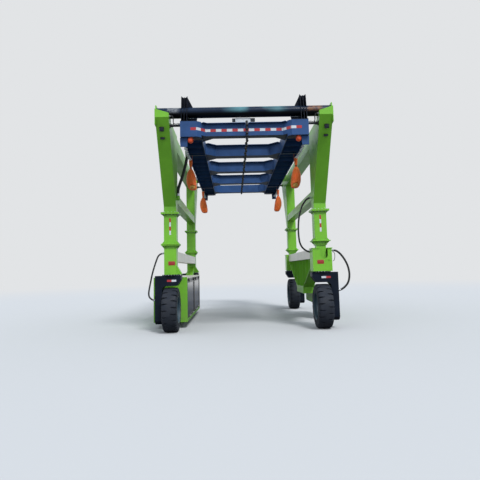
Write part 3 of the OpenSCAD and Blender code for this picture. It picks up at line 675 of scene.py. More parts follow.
class Shape:
    """One piece under construction, drawn in the part's frame."""

    def __init__(self, name: str, palette: Palette, *finishes: str) -> None:
        """Starts an empty mesh; its first finish is used until another is chosen.

        Args:
            name: the piece's name.
            palette: where the finishes come from.
            *finishes: the finishes by name.
        """
        self.name = name
        self.palette = palette
        self.finishes = list(finishes)
        self.bm = bmesh.new()
        self.current = 0

    def use(self, finish: str) -> "Shape":
        """Chooses the finish of what is drawn next.

        Args:
            finish: its name in the palette.

        Returns:
            The shape.
        """
        if finish not in self.finishes:
            self.finishes.append(finish)
        self.current = self.finishes.index(finish)
        return self

    def add(self, points: Sequence[Vec], faces: Sequence[Sequence[int]], matrix: Matrix | None = None) -> list:
        """Adds points and faces.

        Args:
            points: the points.
            faces: indexes of each face's points.
            matrix: where they go.

        Returns:
            The new faces.
        """
        place = matrix or Matrix.Identity(4)
        verts = [self.bm.verts.new(place @ Vector(p)) for p in points]
        flip = place.determinant() < 0
        made = []
        for f in faces:
            order = list(reversed(f)) if flip else f
            face = self.bm.faces.new([verts[i] for i in order])
            face.material_index = self.current
            made.append(face)
        return made

    def block(self, low: Vec, high: Vec, round_edge: float = 0.0, matrix: Matrix | None = None) -> None:
        """A box between two corners with chamfered, rounded edges.

        Args:
            low: lowest corner.
            high: highest corner.
            round_edge: edge radius.
            matrix: where it goes.
        """
        (x0, y0, z0), (x1, y1, z1) = low, high
        points = [(x, y, z) for z in (z0, z1) for y in (y0, y1) for x in (x0, x1)]
        faces = [(0, 2, 3, 1), (4, 5, 7, 6), (0, 1, 5, 4), (2, 6, 7, 3), (0, 4, 6, 2), (1, 3, 7, 5)]
        made = self.add(points, faces, matrix)
        if round_edge > 0:
            edges = list(dict.fromkeys(e for f in made for e in f.edges))
            bmesh.ops.bevel(self.bm, geom=edges, offset=round_edge, segments=2, profile=0.5, affect="EDGES",
                            material=self.current)

    def lathe(self, profile: Sequence[tuple[float, float]], base: Vec, axis: Vec, sides: int = 32) -> None:
        """Turns a profile about an axis and closes it at both ends.

        Args:
            profile: (height along the axis, radius) pairs.
            base: a point on the axis, height 0.
            axis: the axis direction.
            sides: facets around.
        """
        turn = Vector(axis).to_track_quat("Z", "Y").to_matrix().to_4x4()
        place = Matrix.Translation(Vector(base)) @ turn
        points = [(x, y, h) for h, r in profile for x, y in ring(sides, r)]
        faces = tube_faces(len(profile), sides)
        last = (len(profile) - 1) * sides
        faces += [tuple(reversed(range(sides))), tuple(range(last, last + sides))]
        if profile[-1][0] < profile[0][0]:
            faces = [tuple(reversed(f)) for f in faces]
        self.add(points, faces, place)

    def rod(self, a: Vec, b: Vec, radius: float, sides: int = 24, edge: float = 0.0015) -> None:
        """A round bar with eased ends.

        Args:
            a: its start.
            b: its end.
            radius: its radius.
            sides: facets around.
            edge: how far the ends are eased.
        """
        length = (Vector(b) - Vector(a)).length
        edge = min(edge, radius * 0.4, length * 0.4)
        self.lathe([(0, radius - edge), (edge, radius), (length - edge, radius), (length, radius - edge)],
                   a, Vector(b) - Vector(a), sides)

    def bolt(self, base: Vec, axis: Vec, size: float = 0.024) -> None:
        """A hexagon bolt head with its washer.

        Args:
            base: the middle of the washer's seat.
            axis: the way that the head faces.
            size: the size across flats.
        """
        self.lathe([(0, size * 0.85), (size * 0.12, size * 0.85)], base, axis, 16)
        top = Vector(base) + Vector(axis).normalized() * size * 0.12
        self.lathe([(0, size * 0.577), (size * 0.5, size * 0.577), (size * 0.62, size * 0.48)], top, axis, 6)

    def bolt_ring(self, centre: Vec, axis: Vec, count: int, radius: float, size: float, first: float = 0.5) -> None:
        """A ring of bolts about an axis along X or Y.

        Args:
            centre: the ring's middle.
            axis: the way that the bolts face.
            count: how many.
            radius: the ring's radius.
            size: a bolt's size across flats.
            first: where the first one sits, in steps.
        """
        x, y, z = centre
        for u, v in ring(count, radius, first):
            self.bolt((x, y + u, z + v) if axis[0] else (x + u, y, z + v), axis, size)

    def sweep(self, path: Sequence[Vec], radius: float | Sequence[float], sides: int = 12,
              closed: bool = False) -> None:
        """A round tube along a path, without twist.

        Args:
            path: its points.
            radius: one radius, or one for each point.
            sides: facets around.
            closed: whether the path is a ring.
        """
        line = [Vector(p) for p in path]
        n = len(line)
        radii = [radius] * n if isinstance(radius, (int, float)) else list(radius)
        tangents = []
        for k in range(n):
            a = line[(k - 1) % n] if closed else line[max(k - 1, 0)]
            b = line[(k + 1) % n] if closed else line[min(k + 1, n - 1)]
            tangents.append((b - a).normalized())
        side = tangents[0].orthogonal().normalized()
        points = []
        for k in range(n):
            side = (side - tangents[k] * side.dot(tangents[k])).normalized()
            up = tangents[k].cross(side)
            points += [line[k] + radii[k] * (side * c + up * s) for c, s in ring(sides, 1.0)]
        faces = tube_faces(n, sides, closed)
        if not closed:
            faces += [tuple(reversed(range(sides))), tuple(range((n - 1) * sides, n * sides))]
        self.add(points, faces)

    def strap(self, line: Sequence[Vec], outward: Sequence[Vec], along: Vec, thick: float) -> None:
        """A flat band round something.

        Args:
            line: the closed line that it lies on, at one edge of the band.
            outward: the way out at each point.
            along: the vector from one edge of the band to the other.
            thick: the band's thickness.
        """
        step, n = Vector(along), len(line)
        points = [Vector(p) + Vector(o) * d + step * t for p, o in zip(line, outward)
                  for t, d in ((0, 0), (0, thick), (1, thick), (1, 0))]
        faces = [(4 * k + i, 4 * ((k + 1) % n) + i, 4 * ((k + 1) % n) + (i + 1) % 4, 4 * k + (i + 1) % 4)
                 for k in range(n) for i in range(4)]
        made = self.add(points, faces)
        bmesh.ops.recalc_face_normals(self.bm, faces=made)

    def weld(self, path: Sequence[Vec], size: float = 0.0045, closed: bool = False) -> None:
        """A weld bead along straight runs, with its ripples.

        Args:
            path: the corners that it passes.
            size: the bead's radius.
            closed: whether it comes back to its start.
        """
        corners = [Vector(p) for p in path] + ([Vector(path[0])] if closed else [])
        line = [corners[0]]
        for a, b in zip(corners, corners[1:]):
            steps = max(2, round((b - a).length / 0.007))
            line += [a + (b - a) * (k / steps) for k in range(1, steps + 1)]
        line = line[:-1] if closed else line
        ripples = [size * (1.0 + 0.14 * math.sin(2.1 * k) + 0.06 * math.sin(0.37 * k)) for k in range(len(line))]
        self.sweep(line, ripples, 6, closed)

    def mirrored(self, matrix: Matrix) -> "Shape":
        """Carries everything drawn so far to another place.

        Args:
            matrix: where it goes.

        Returns:
            The shape.
        """
        bmesh.ops.transform(self.bm, matrix=matrix, verts=self.bm.verts[:])
        if matrix.determinant() < 0:
            bmesh.ops.reverse_faces(self.bm, faces=self.bm.faces[:])
        return self

    def done(self, body: str, slot: str, replaces: Sequence[str] = (), smooth: float = 38.0,
             ride: bool = True) -> bpy.types.Object:
        """Closes the mesh and gives it to a body.

        Args:
            body: the body that it rides on.
            slot: the record's material slot, which is not used.
            replaces: CAD nodes that it stands for.
            smooth: largest angle that is shaded smooth, in degrees.
            ride: whether it rides on the body now.

        Returns:
            The object.
        """
        mesh = bpy.data.meshes.new(self.name)
        self.bm.to_mesh(mesh)
        self.bm.free()
        for finish in self.finishes:
            mesh.materials.append(self.palette[finish])
        mesh.shade_smooth()
        mesh.set_sharp_from_angle(angle=math.radians(smooth))
        made = bpy.data.objects.new(self.name, mesh)
        bpy.context.scene.collection.objects.link(made)
        if replaces:
            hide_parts(*replaces)
        if ride:
            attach(made, body)
        LOG.info("%s: %d faces on %s", self.name, len(mesh.polygons), body)
        return made


def tube_faces(rings: int, sides: int, closed: bool = False) -> list[tuple[int, ...]]:
    """The faces between rings of points, one ring after the other.

    Args:
        rings: how many rings.
        sides: points in a ring.
        closed: whether the last ring joins the first.

    Returns:
        The points' indexes for each face.
    """
    return [(i * sides + m, i * sides + (m + 1) % sides, (i + 1) % rings * sides + (m + 1) % sides,
             (i + 1) % rings * sides + m) for i in range(rings if closed else rings - 1) for m in range(sides)]


def smooth_path(points: Sequence[Vec], per_span: int) -> list[Vector]:
    """A Catmull-Rom curve through points.

    Args:
        points: the points that it passes.
        per_span: steps between two of them.

    Returns:
        The curve's points.
    """
    line = [Vector(p) for p in points]
    line = [line[0] * 2 - line[1], *line, line[-1] * 2 - line[-2]]
    out = []
    for k in range(1, len(line) - 2):
        p, q, r, s = line[k - 1:k + 3]
        for m in range(per_span):
            t = m / per_span
            out.append(0.5 * (2 * q + (r - p) * t + (2 * p - 5 * q + 4 * r - s) * t * t
                              + (3 * q - p - 3 * r + s) * t ** 3))
    out.append(line[-2].copy())
    return out


def path_length(path: Sequence[Vector]) -> float:
    """The length of a line of points."""
    return sum((b - a).length for a, b in zip(path, path[1:]))


@dataclass(frozen=True)
class Studio:
    """Camera of the photograph's view, pale floor and plain soft light."""

    eye: Vec = (-0.3198, -14.5863, 1.5231)
    yaw: float = -0.0163
    pitch: float = 0.1175
    roll: float = -0.024
    focal_px: float = 461.354
    centre_row: float = 214.0
    frame_px: float = 480.0
    pale: Tone = (226, 228, 230)
    sky: tuple[float, float, float, float] = (0.86, 0.93, 1.0, 1.0)
    sky_strength: float = 0.92
    suns: tuple[tuple[str, float, float, Vec], ...] = (
        ("key_light", 2.5, 16.0, (-0.35, 0.75, -0.95)), ("fill_light", 0.25, 60.0, (0.7, 0.5, -0.35)))
    floor_seen: Tone = (186, 188, 191)
    floor_lit: Tone = (110, 112, 116)
    floor_radius: float = 90.0
    fade: tuple[float, float] = (14.0, 40.0)

    def place_camera(self) -> None:
        """Creates the camera and makes it the scene's."""
        ahead = Vector((-math.sin(self.yaw), math.cos(self.yaw), 0))
        right = Vector((math.cos(self.yaw), math.sin(self.yaw), 0))
        up = Vector((0, 0, 1))
        look = ahead * math.cos(self.pitch) + up * math.sin(self.pitch)
        above = up * math.cos(self.pitch) - ahead * math.sin(self.pitch)
        x_axis = right * math.cos(self.roll) + above * math.sin(self.roll)
        y_axis = above * math.cos(self.roll) - right * math.sin(self.roll)
        data = bpy.data.cameras.new("photo_camera")
        data.sensor_width = 36.0
        data.lens = self.focal_px * data.sensor_width / self.frame_px
        data.shift_y = (self.centre_row - self.frame_px / 2) / self.frame_px
        data.clip_end = 200.0
        camera = bpy.data.objects.new("photo_camera", data)
        turn = Matrix((x_axis, y_axis, -look)).transposed().to_4x4()
        camera.matrix_world = Matrix.Translation(Vector(self.eye)) @ turn
        bpy.context.scene.collection.objects.link(camera)
        bpy.context.scene.camera = camera

    def light(self) -> None:
        """Pale sky, one broad key from the upper front right and a weak fill from the left."""
        world = bpy.data.worlds.new("soft_sky")
        bpy.context.scene.world = world
        world.use_nodes = True
        g = Graph(world.node_tree)
        for node in list(world.node_tree.nodes):
            world.node_tree.nodes.remove(node)
        paths = g.add("ShaderNodeLightPath").outputs
        seen = g.math("MAXIMUM", paths["Is Camera Ray"], paths["Is Transmission Ray"])
        sky = g.add("ShaderNodeBackground", {"Color": self.sky, "Strength": self.sky_strength})
        shown = g.add("ShaderNodeBackground", {"Color": srgb(*self.pale), "Strength": 1.0})
        mix = g.add("ShaderNodeMixShader", {0: seen, 1: sky.outputs[0], 2: shown.outputs[0]})
        g.add("ShaderNodeOutputWorld", {"Surface": mix.outputs[0]})
        for name, power, angle, aim in self.suns:
            data = bpy.data.lights.new(name, "SUN")
            data.energy, data.angle = power, math.radians(angle)
            lamp = bpy.data.objects.new(name, data)
            lamp.rotation_mode = "QUATERNION"
            lamp.rotation_quaternion = Vector(aim).to_track_quat("-Z", "Y")
            bpy.context.scene.collection.objects.link(lamp)

    def floor(self) -> None:
        """A wide pale disc that fades into the background."""
        mesh = bpy.data.meshes.new("studio_floor")
        bm = bmesh.new()
        bmesh.ops.create_circle(bm, cap_ends=True, segments=96, radius=self.floor_radius)
        bm.to_mesh(mesh)
        bm.free()
        floor = bpy.data.objects.new("studio_floor", mesh)
        floor.location.z = -0.001
        bpy.context.scene.collection.objects.link(floor)
        material, g, shader = new_material("floor_pale")
        g.tree.nodes.remove(shader)
        where = g.place()
        far = g.step(g.add("ShaderNodeVectorMath", {0: where}, operation="LENGTH").outputs["Value"], *self.fade)
        first = g.add("ShaderNodeLightPath").outputs["Is Camera Ray"]
        shade = g.blend(first, srgb(*self.floor_lit), srgb(*self.floor_seen))
        plain = g.add("ShaderNodeBsdfDiffuse", {"Color": shade})
        glow = g.add("ShaderNodeEmission", {"Color": srgb(*self.pale), "Strength": 1.0})
        mix = g.add("ShaderNodeMixShader", {0: far, 1: plain.outputs[0], 2: glow.outputs[0]})
        g.feed(mix.outputs[0], g.tree.nodes["Material Output"].inputs["Surface"])
        mesh.materials.append(material)


class HoseEnd(Enum):
    """How a hose ends: a word for its end pieces' names, their slot and facets, and the tube's facets."""

    CRIMPED = ("fitting", "hose_rubber", 20, 16)
    NUT = ("end", "galvanised", 6, 10)

    def profile(self, r: float) -> Profile:
        """The end piece's (height, radius) pairs on a hose of radius r.

        Args:
            r: the hose's radius.

        Returns:
            The pairs, from the body outwards.
        """
        if self is HoseEnd.NUT:
            return [(-0.0003, 0.0115), (0.009, 0.0115), (0.010, 0.0088), (0.024, 0.0088), (0.0245, 0.0072)]
        return [(0.001, r * 0.9), (0.003, r * 1.2), (0.016, r * 1.2), (0.018, r * 1.06), (0.034, r * 1.1),
                (0.036, r * 1.22), (0.040, r * 1.22), (0.042, r * 1.08), (0.060, r * 1.1), (0.064, r * 1.02)]


@dataclass(frozen=True)
class HoseRun:
    """One hose: its line in metres, radius and ends, the bodies of its two ends, and two bend points, which only
    leave the tube riding on no body.
    """

    name: str
    path: Sequence[Vector]
    radius: float
    end: HoseEnd
    bodies: tuple[str, str]
    bend: tuple[Vec, ...] = ()
    nodes: tuple[str, ...] = ()

    def build(self, palette: Palette) -> None:
        """Args:
            palette: the finishes.
        """
        word, slot, end_facets, facets = self.end.value
        path, (first, second) = self.path, self.bodies
        tube = Shape(self.name, palette, "hose_rubber")
        tube.sweep(path, self.radius, facets)
        made = tube.done(first, "hose_rubber", self.nodes, ride=not self.bend)
        if self.bend:
            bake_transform(made)
        ends = []
        for body, a, b in ((first, path[0], path[1]), (second, path[-1], path[-2])):
            piece = Shape(f"{self.name}_{word}_{len(ends) + 1}", palette, "galvanised")
            piece.lathe(self.end.profile(self.radius), a, (b - a).normalized(), end_facets)
            ends.append(piece.done(body, slot))


@dataclass
class Hoses:
    """The four main hydraulic hoses. Their routes are in millimetres, as in the source."""

    palette: Palette
    right: tuple[Vec, ...] = (
        (2135.3, -2950, 1925), (2190, -2950, 1925), (2280, -2955, 1905), (2370, -2965, 1830), (2460, -2970, 1705),
        (2530, -2970, 1560), (2570, -2965, 1400), (2570, -2960, 1240), (2530, -2950, 1105), (2450, -2935, 1005),
        (2350, -2925, 940), (2280.3, -2925, 940))
    left: tuple[Vec, ...] = (
        (-2048.8, -2950, 1945), (-2070, -2950, 1945), (-2126, -2951, 1935), (-2176, -2953, 1906),
        (-2217, -2956, 1852), (-2258, -2960, 1745), (-2296, -2963, 1630), (-2332, -2965, 1510),
        (-2366, -2965, 1375), (-2395, -2962, 1230), (-2420, -2957, 1110), (-2438, -2951, 1010),
        (-2443, -2945, 940), (-2431, -2941, 880), (-2395, -2938, 832), (-2344, -2935, 799), (-2293, -2935, 790),
        (-2280.3, -2935, 790))
    shift: tuple[Vec, ...] = tuple((x - 1740, -2900, z + 3400.3) for x, z in (
        (38.3, 0), (38.3, 100), (50, 200), (84, 310), (130, 440), (172, 570), (208, 700), (241, 835), (264, 945),
        (275, 1039.4), (275, 1099.4)))
    lift: tuple[Vec, ...] = (
        (1739.7, -2790, 3300), (1690, -2790, 3300), (1610, -2795, 3260), (1530, -2800, 3170), (1460, -2805, 3040),
        (1410, -2810, 2880), (1375, -2810, 2700), (1360, -2805, 2500), (1364, -2790, 2320), (1390, -2750, 2160),
        (1440, -2710, 2050), (1520, -2660, 1970), (1610, -2620, 1920), (1690, -2600, 1900), (1739.7, -2600, 1900))

    def build(self) -> None:
        """Builds all four: name, node, route, radius, bodies, and two bend points, which only leave the tube riding
        on no body.
        """
        for name, node, route, radius, bodies, bend in (
                ("steer_hose_right", "hose_front_right", self.right, 0.025, ("side_frames", "yoke_front_right"),
                 ((2.3, -2.95, 1.85), (2.3, -2.95, 1.05))),
                ("steer_hose_left", "hose_front_left", self.left, 0.020, ("side_frames", "yoke_front_left"),
                 ((-2.3, -2.95, 1.85), (-2.3, -2.95, 0.90))),
                ("spreader_hose", "shift_hose", self.shift, 0.038, ("lifting_frame", "spreader"),
                 ((-1.70, -2.9, 3.52), (-1.466, -2.9, 4.40))),
                ("lift_supply_hose", "lift_hose", self.lift, 0.022, ("lifting_frame", "side_frames"),
                 ((1.5, -2.8, 3.15), (1.5, -2.7, 2.05)))):
            path = smooth_path([(x / 1000, y / 1000, z / 1000) for x, y, z in route], 4)
            HoseRun(name, path, radius, HoseEnd.CRIMPED, bodies, bend, (node,)).build(self.palette)


@dataclass
class Conduit:
    """The corrugated conduit that drops from the box and runs back under all members, with knobs and clips."""

    palette: Palette
    x: float = 0.060
    high: float = 4.935
    low: float = 4.550
    front: float = -4.165
    box: float = -4.1103
    rear: float = 4.010
    elbow: float = 0.040
    pitch: float = 0.024
    thick: float = 0.0205
    slim: float = 0.0105
    swell: float = 0.003
    underside: float = 4.595
    clips: tuple[float, ...] = (-4.0, -2.05, 0.0, 2.05, 4.0)
    clip_reach: float = 0.0245
    clip_half: float = 0.012
    leg_reach: float = 0.0295
    leg_half: float = 0.0045
    knob_step: float = 0.100
    knob_sway: float = 0.008
    knob_stretch: float = 1.35
    knob_gaps: int = 17
    knob_run: float = 4.1
    knob: Profile = ((-0.027, 0.014), (-0.022, 0.026), (-0.010, 0.0335), (0.010, 0.0335), (0.022, 0.026),
                     (0.027, 0.014))
    gland: Profile = ((0, 0.03), (0.012, 0.03), (0.014, 0.026), (0.024, 0.026))

    def _line(self) -> list[Vector]:
        """Stations along the conduit, four to a corrugation.

        Returns:
            The points from the box to the rear.
        """
        e = self.elbow
        line = [Vector((self.x, self.box, self.high)), Vector((self.x, self.front + e, self.high))]
        for centre_z, start in ((self.high - e, 90), (self.low + e, 180)):
            for a in (math.radians(start + 15 * k) for k in range(1, 7)):
                line.append(Vector((self.x, self.front + e + e * math.cos(a), centre_z + e * math.sin(a))))
        line.append(Vector((self.x, self.rear, self.low)))
        out = [line[0]]
        for a, b in zip(line, line[1:]):
            steps = max(1, round((b - a).length / (self.pitch / 4)))
            out += [a + (b - a) * (k / steps) for k in range(1, steps + 1)]
        return out

    def _radius(self, k: int, at: Vector) -> float:
        """The radius at a station: full at the clips, the elbows and the box, slimmer between the knobs.

        Args:
            k: the station's number, which sets its place on a corrugation.
            at: the station.

        Returns:
            The radius in metres.
        """
        fixed = at.z > self.low + 0.02 and at.y > self.front + 0.01
        clipped = any(abs(at.y - clip) < 0.022 for clip in self.clips)
        return (self.thick if fixed or clipped else self.slim) + self.swell * (0.5 + 0.5 * math.cos(math.pi * k / 2))

    def _clip(self, shape: Shape, y: float) -> None:
        """A clip: two legs up to the member and a strap round the conduit.

        Args:
            shape: the piece that it goes into.
            y: its place along the conduit.
        """
        for side in BOTH:
            middle = self.x + side * self.leg_reach
            shape.block((middle - self.leg_half, y - self.clip_half, self.low),
                        (middle + self.leg_half, y + self.clip_half, self.underside), 0.001)
        circle = ring(24, 1.0)
        shape.strap([(self.x + self.clip_reach * c, y - self.clip_half, self.low + self.clip_reach * s)
                     for c, s in circle], [(c, 0, s) for c, s in circle], (0, 2 * self.clip_half, 0), 0.003)

    def build(self) -> None:
        """Builds the conduit in place of its solid."""
        shape = Shape("spreader_conduit", self.palette, "hose_rubber")
        line = self._line()
        shape.sweep(line, [self._radius(k, p) for k, p in enumerate(line)], 14)
        stretched = [(h * self.knob_stretch, radius) for h, radius in self.knob]
        for k in range(1 - self.knob_gaps, self.knob_gaps):
            y = k * self.knob_run / self.knob_gaps
            if all(abs(y - clip) > 0.04 for clip in self.clips):
                shape.lathe(stretched, (self.x + (-1) ** k * self.knob_sway, y, self.low), (0, 1, 0), 18)
        for k in range(3):
            shape.lathe(self.knob, (self.x, self.front, self.high - 0.09 - k * self.knob_step), (0, 0, 1), 18)
        shape.lathe(self.gland, (self.x, self.box, self.high), (0, -1, 0), 20)
        shape.use("galvanised")
        for y in self.clips:
            self._clip(shape, y)
        shape.done("spreader", "hose_rubber", ["hose_duct"])


@dataclass
class ShiftLines:
    """The thin hoses: three from each front arm head to the spreader's side, with slack for the side shift,
    and a short one on the right front socket beside the outer loop. Routes are pairs of X and Z."""

    palette: Palette
    radius: float = 0.007
    route: Profile = (
        (1.7359, 5.060), (1.718, 5.060), (1.700, 5.060), (1.671, 5.0522), (1.6498, 5.031), (1.642, 5.002),
        (1.642, 4.955), (1.642, 4.908), (1.6342, 4.879), (1.613, 4.8578), (1.584, 4.850), (1.552, 4.856),
        (1.520, 4.866), (1.500, 4.866), (1.4801, 4.866))
    planes: Profile = ((-4.205, 0.0), (-4.235, 0.016), (-4.265, -0.014))
    loop: Profile = (
        (2.1353, 1.888), (2.150, 1.888), (2.165, 1.888), (2.194, 1.880), (2.215, 1.859), (2.223, 1.830),
        (2.224, 1.785), (2.221, 1.740), (2.212, 1.695), (2.193, 1.668), (2.165, 1.660), (2.150, 1.660),
        (2.1353, 1.660))
    loop_y: float = -3.004

    @staticmethod
    def _line(route: Profile, y: float, sway: float, side: int = 1, sag: float = 0.0) -> list[Vector]:
        """Carries a route to its place as a smooth line.

        Args:
            route: its X and Z.
            y: the plane that it hangs in.
            sway: how far its middle leaves that plane.
            side: 1 on the right, -1 on the left.
            sag: how much lower its middle hangs.

        Returns:
            The line's points.
        """
        last = len(route) - 1
        waves = [math.sin(math.pi * k / last) for k in range(last + 1)]
        return smooth_path([(side * x, y + sway * w, z - sag * w) for (x, z), w in zip(route, waves)], 3)

    def build(self) -> None:
        """Builds the short hose, then the three at both front corners."""
        HoseRun("socket_line", self._line(self.loop, self.loop_y, 0.012), self.radius, HoseEnd.NUT,
                ("side_frames", "side_frames")).build(self.palette)
        for side, name in zip(BOTH, ("left", "right")):
            for k, (y, sag) in enumerate(self.planes):
                HoseRun(f"shift_line_{name}_{k + 1}", self._line(self.route, y, 0.003, side, sag), self.radius,
                        HoseEnd.NUT, ("lifting_frame", "spreader"),
                        ((side * 1.700, y, 5.06), (side * 1.520, y, 4.866))).build(self.palette)


@dataclass
class Wheel:
    """A solid industrial tyre with wedge cuts from both shoulders, its rim and the rim's fasteners."""

    corner: Corner
    palette: Palette
    radius: float = 0.545
    centre_z: float = AXLE_Z
    pitches: int = 21
    cut_depth: float = 0.045
    cut_half: float = 0.0236
    cut_end: float = 0.042
    hub_face: float = LEG_X - 0.0965
    rim_face: float = LEG_X - 0.0622
    hub_cap: Profile = ((0, 0.052), (0.014, 0.052), (0.022, 0.046), (0.026, 0.03), (0.027, 0.004))
    profile: Profile = (
        (0.3283, 0.169), (0.334, 0.1755), (0.346, 0.1822), (0.352, 0.1836), (0.358, 0.1824), (0.400, 0.1838),
        (0.440, 0.1845), (0.468, 0.1848), (0.490, 0.1822), (0.508, 0.1775), (0.522, 0.1695), (0.533, 0.1575),
        (0.540, 0.144), (0.5445, 0.118), (0.545, 0.090), (0.545, 0.066), (0.545, 0.050), (0.545, 0.042),
        (0.545, 0.018))

    def _half_cut(self, x: float) -> float:
        """Half the width of a wedge cut at distance x from the tyre's middle."""
        return self.cut_half * (0.42 + 0.58 * unit((abs(x) - self.cut_end) / 0.125))

    def _depth(self, x: float, r: float, across: float) -> float:
        """How deep the tread is cut at a point.

        Args:
            x: distance from the tyre's middle, outboard positive.
            r: radius of the smooth tyre there.
            across: place across the cut, 0 in its middle and 1 at its edge.

        Returns:
            The depth in metres.
        """
        wall = unit((1.0 - across) / 0.22)
        reach = unit((abs(x) - self.cut_end) / 0.008)
        deeper = unit((abs(x) - self.cut_end) / 0.09)
        fade = unit((r - 0.462) / 0.034)
        return self.cut_depth * (0.42 + 0.58 * deeper) * wall * reach * fade

    def _stations(self) -> list[tuple[int, float, float]]:
        """Lines across the tread, in order round the tyre.

        Returns:
            For each the side that its cut is on, that cut's angle, and the place across it.
        """
        pitch = math.pi / self.pitches
        return [(1 if k % 2 == 0 else -1, k * pitch, u) for k in range(2 * self.pitches)
                for u in (-1.5, -1.0, -0.78, 0.0, 0.78, 1.0, 1.5)]

    def tyre(self) -> None:
        """Builds the tyre in place of its solid."""
        shape = Shape(f"tread_{self.corner.label}", self.palette, "tyre")
        half = list(self.profile)
        section = [(x, r) for r, x in half] + [(-x, r) for r, x in reversed(half)]
        stations = self._stations()
        points = []
        for side, base, u in stations:
            for x, r in section:
                own = side * x > 0 and abs(u) <= 1.0
                along = u * (self._half_cut(x) if own else self.cut_half) + 0.02 * (0.185 - abs(x)) / 0.185
                a = base + along / self.radius
                depth = self._depth(x, r, abs(u)) if own else 0.0
                inward = unit((r - 0.50) / 0.045)
                rr = r - depth * (0.35 + 0.65 * inward)
                xx = x - math.copysign(depth * 0.45 * (1 - inward), x)
                points.append((xx, rr * math.cos(a), rr * math.sin(a)))
        n, m = len(stations), len(section)
        faces = [(k * m + i, (k + 1) % n * m + i, (k + 1) % n * m + (i + 1) % m, k * m + (i + 1) % m)
                 for k in range(n) for i in range(m)]
        shape.add(points, faces, Matrix.Translation((LEG_X, LEG_Y, self.centre_z)))
        shape.mirrored(self.corner.mirror)
        bmesh.ops.recalc_face_normals(shape.bm, faces=shape.bm.faces[:])
        shape.done(f"wheel_{self.corner.label}", "tyre", [f"tyre_{self.corner.label}"], smooth=30.0)

    def fasteners(self) -> None:
        """Wheel bolts, hub cap and valve on the inner side, where the rim shows."""
        shape = Shape(f"wheel_bolts_{self.corner.label}", self.palette, "galvanised")
        hub, inward = (self.hub_face, LEG_Y, self.centre_z), (-1, 0, 0)
        shape.bolt_ring(hub, inward, 10, 0.073, 0.013)
        shape.use("rim_paint").lathe(self.hub_cap, hub, inward, 32)
        shape.use("galvanised").bolt_ring((self.rim_face, LEG_Y, self.centre_z), inward, 12, 0.278, 0.016)
        valve_z = self.centre_z + 0.262
        shape.use("seal_rubber").rod((LEG_X - 0.058, LEG_Y, valve_z), (LEG_X - 0.088, LEG_Y, valve_z), 0.006, 12)
        shape.mirrored(self.corner.mirror).done(f"wheel_{self.corner.label}", "rim_paint")

    def build(self) -> None:
        """Builds tyre and fasteners and paints the rim."""
        self.tyre()
        self.fasteners()
        self.palette.dress(f"rim_{self.corner.label}", "rim_paint")


@dataclass
class LiftChain:
    """The chain that droops from a lug to its bag, link by link as in the source."""

    corner: Corner
    palette: Palette
    inner: float = 0.1003
    wire: float = 0.010
    half_width: float = 0.029
    gap: float = 0.0008
    count: int = 14
    dip: float = 8.0
    lug: Vec = (1.405, 4.050, 4.430)
    lug_hole: float = 0.026

    def slope(self, k: int) -> float:
        """Slope of link k, in radians, down towards the bag."""
        return math.radians(self.dip * (2 * k / self.count - 1))

    def centres(self) -> list[tuple[float, float]]:
        """Where the links hang.

        Returns:
            Their centres in Y and Z, from the lug on.
        """
        half_link = self.inner / 2 + self.wire
        reach = math.sqrt((self.lug_hole - 0.0003) ** 2 - self.wire ** 2) - self.wire + half_link
        y = self.lug[1] - reach * math.cos(self.slope(0))
        z = self.lug[2] + reach * math.sin(self.slope(0))
        at = [(y, z)]
        step = (self.inner - self.gap) / 2
        for k in range(1, self.count + 1):
            a, b = self.slope(k - 1), self.slope(k)
            y, z = y - step * (math.cos(a) + math.cos(b)), z + step * (math.sin(a) + math.sin(b))
            at.append((y, z))
        return at

    def link(self) -> list[Vector]:
        """Centreline of one link along X, flat in X and Y.

        Returns:
            Its points.
        """
        straight = self.inner / 2 + self.wire - self.half_width
        line = []
        for end, start in ((1, -90), (-1, 90)):
            for a in (math.radians(start + 22.5 * k) for k in range(9)):
                x, y = self.half_width * math.cos(a), self.half_width * math.sin(a)
                line.append(Vector((end * straight + x, y, 0)))
        return line

    def build(self) -> None:
        """Builds the chain at its corner."""
        shape = Shape(f"chain_{self.corner.label}", self.palette, "chain_zinc")
        line = self.link()
        for k, (y, z) in enumerate(self.centres()):
            turn = (Matrix.Translation((self.lug[0], y, z)) @ Matrix.Rotation(-self.slope(k), 4, "X")
                    @ Matrix.Rotation(math.pi / 2, 4, "Z") @ Matrix.Rotation(k % 2 * math.pi / 2, 4, "X"))
            shape.sweep([turn @ p for p in line], self.wire, 10, closed=True)
        shape.mirrored(self.corner.mirror).done("spreader", "galvanised", ["lift_chains"])


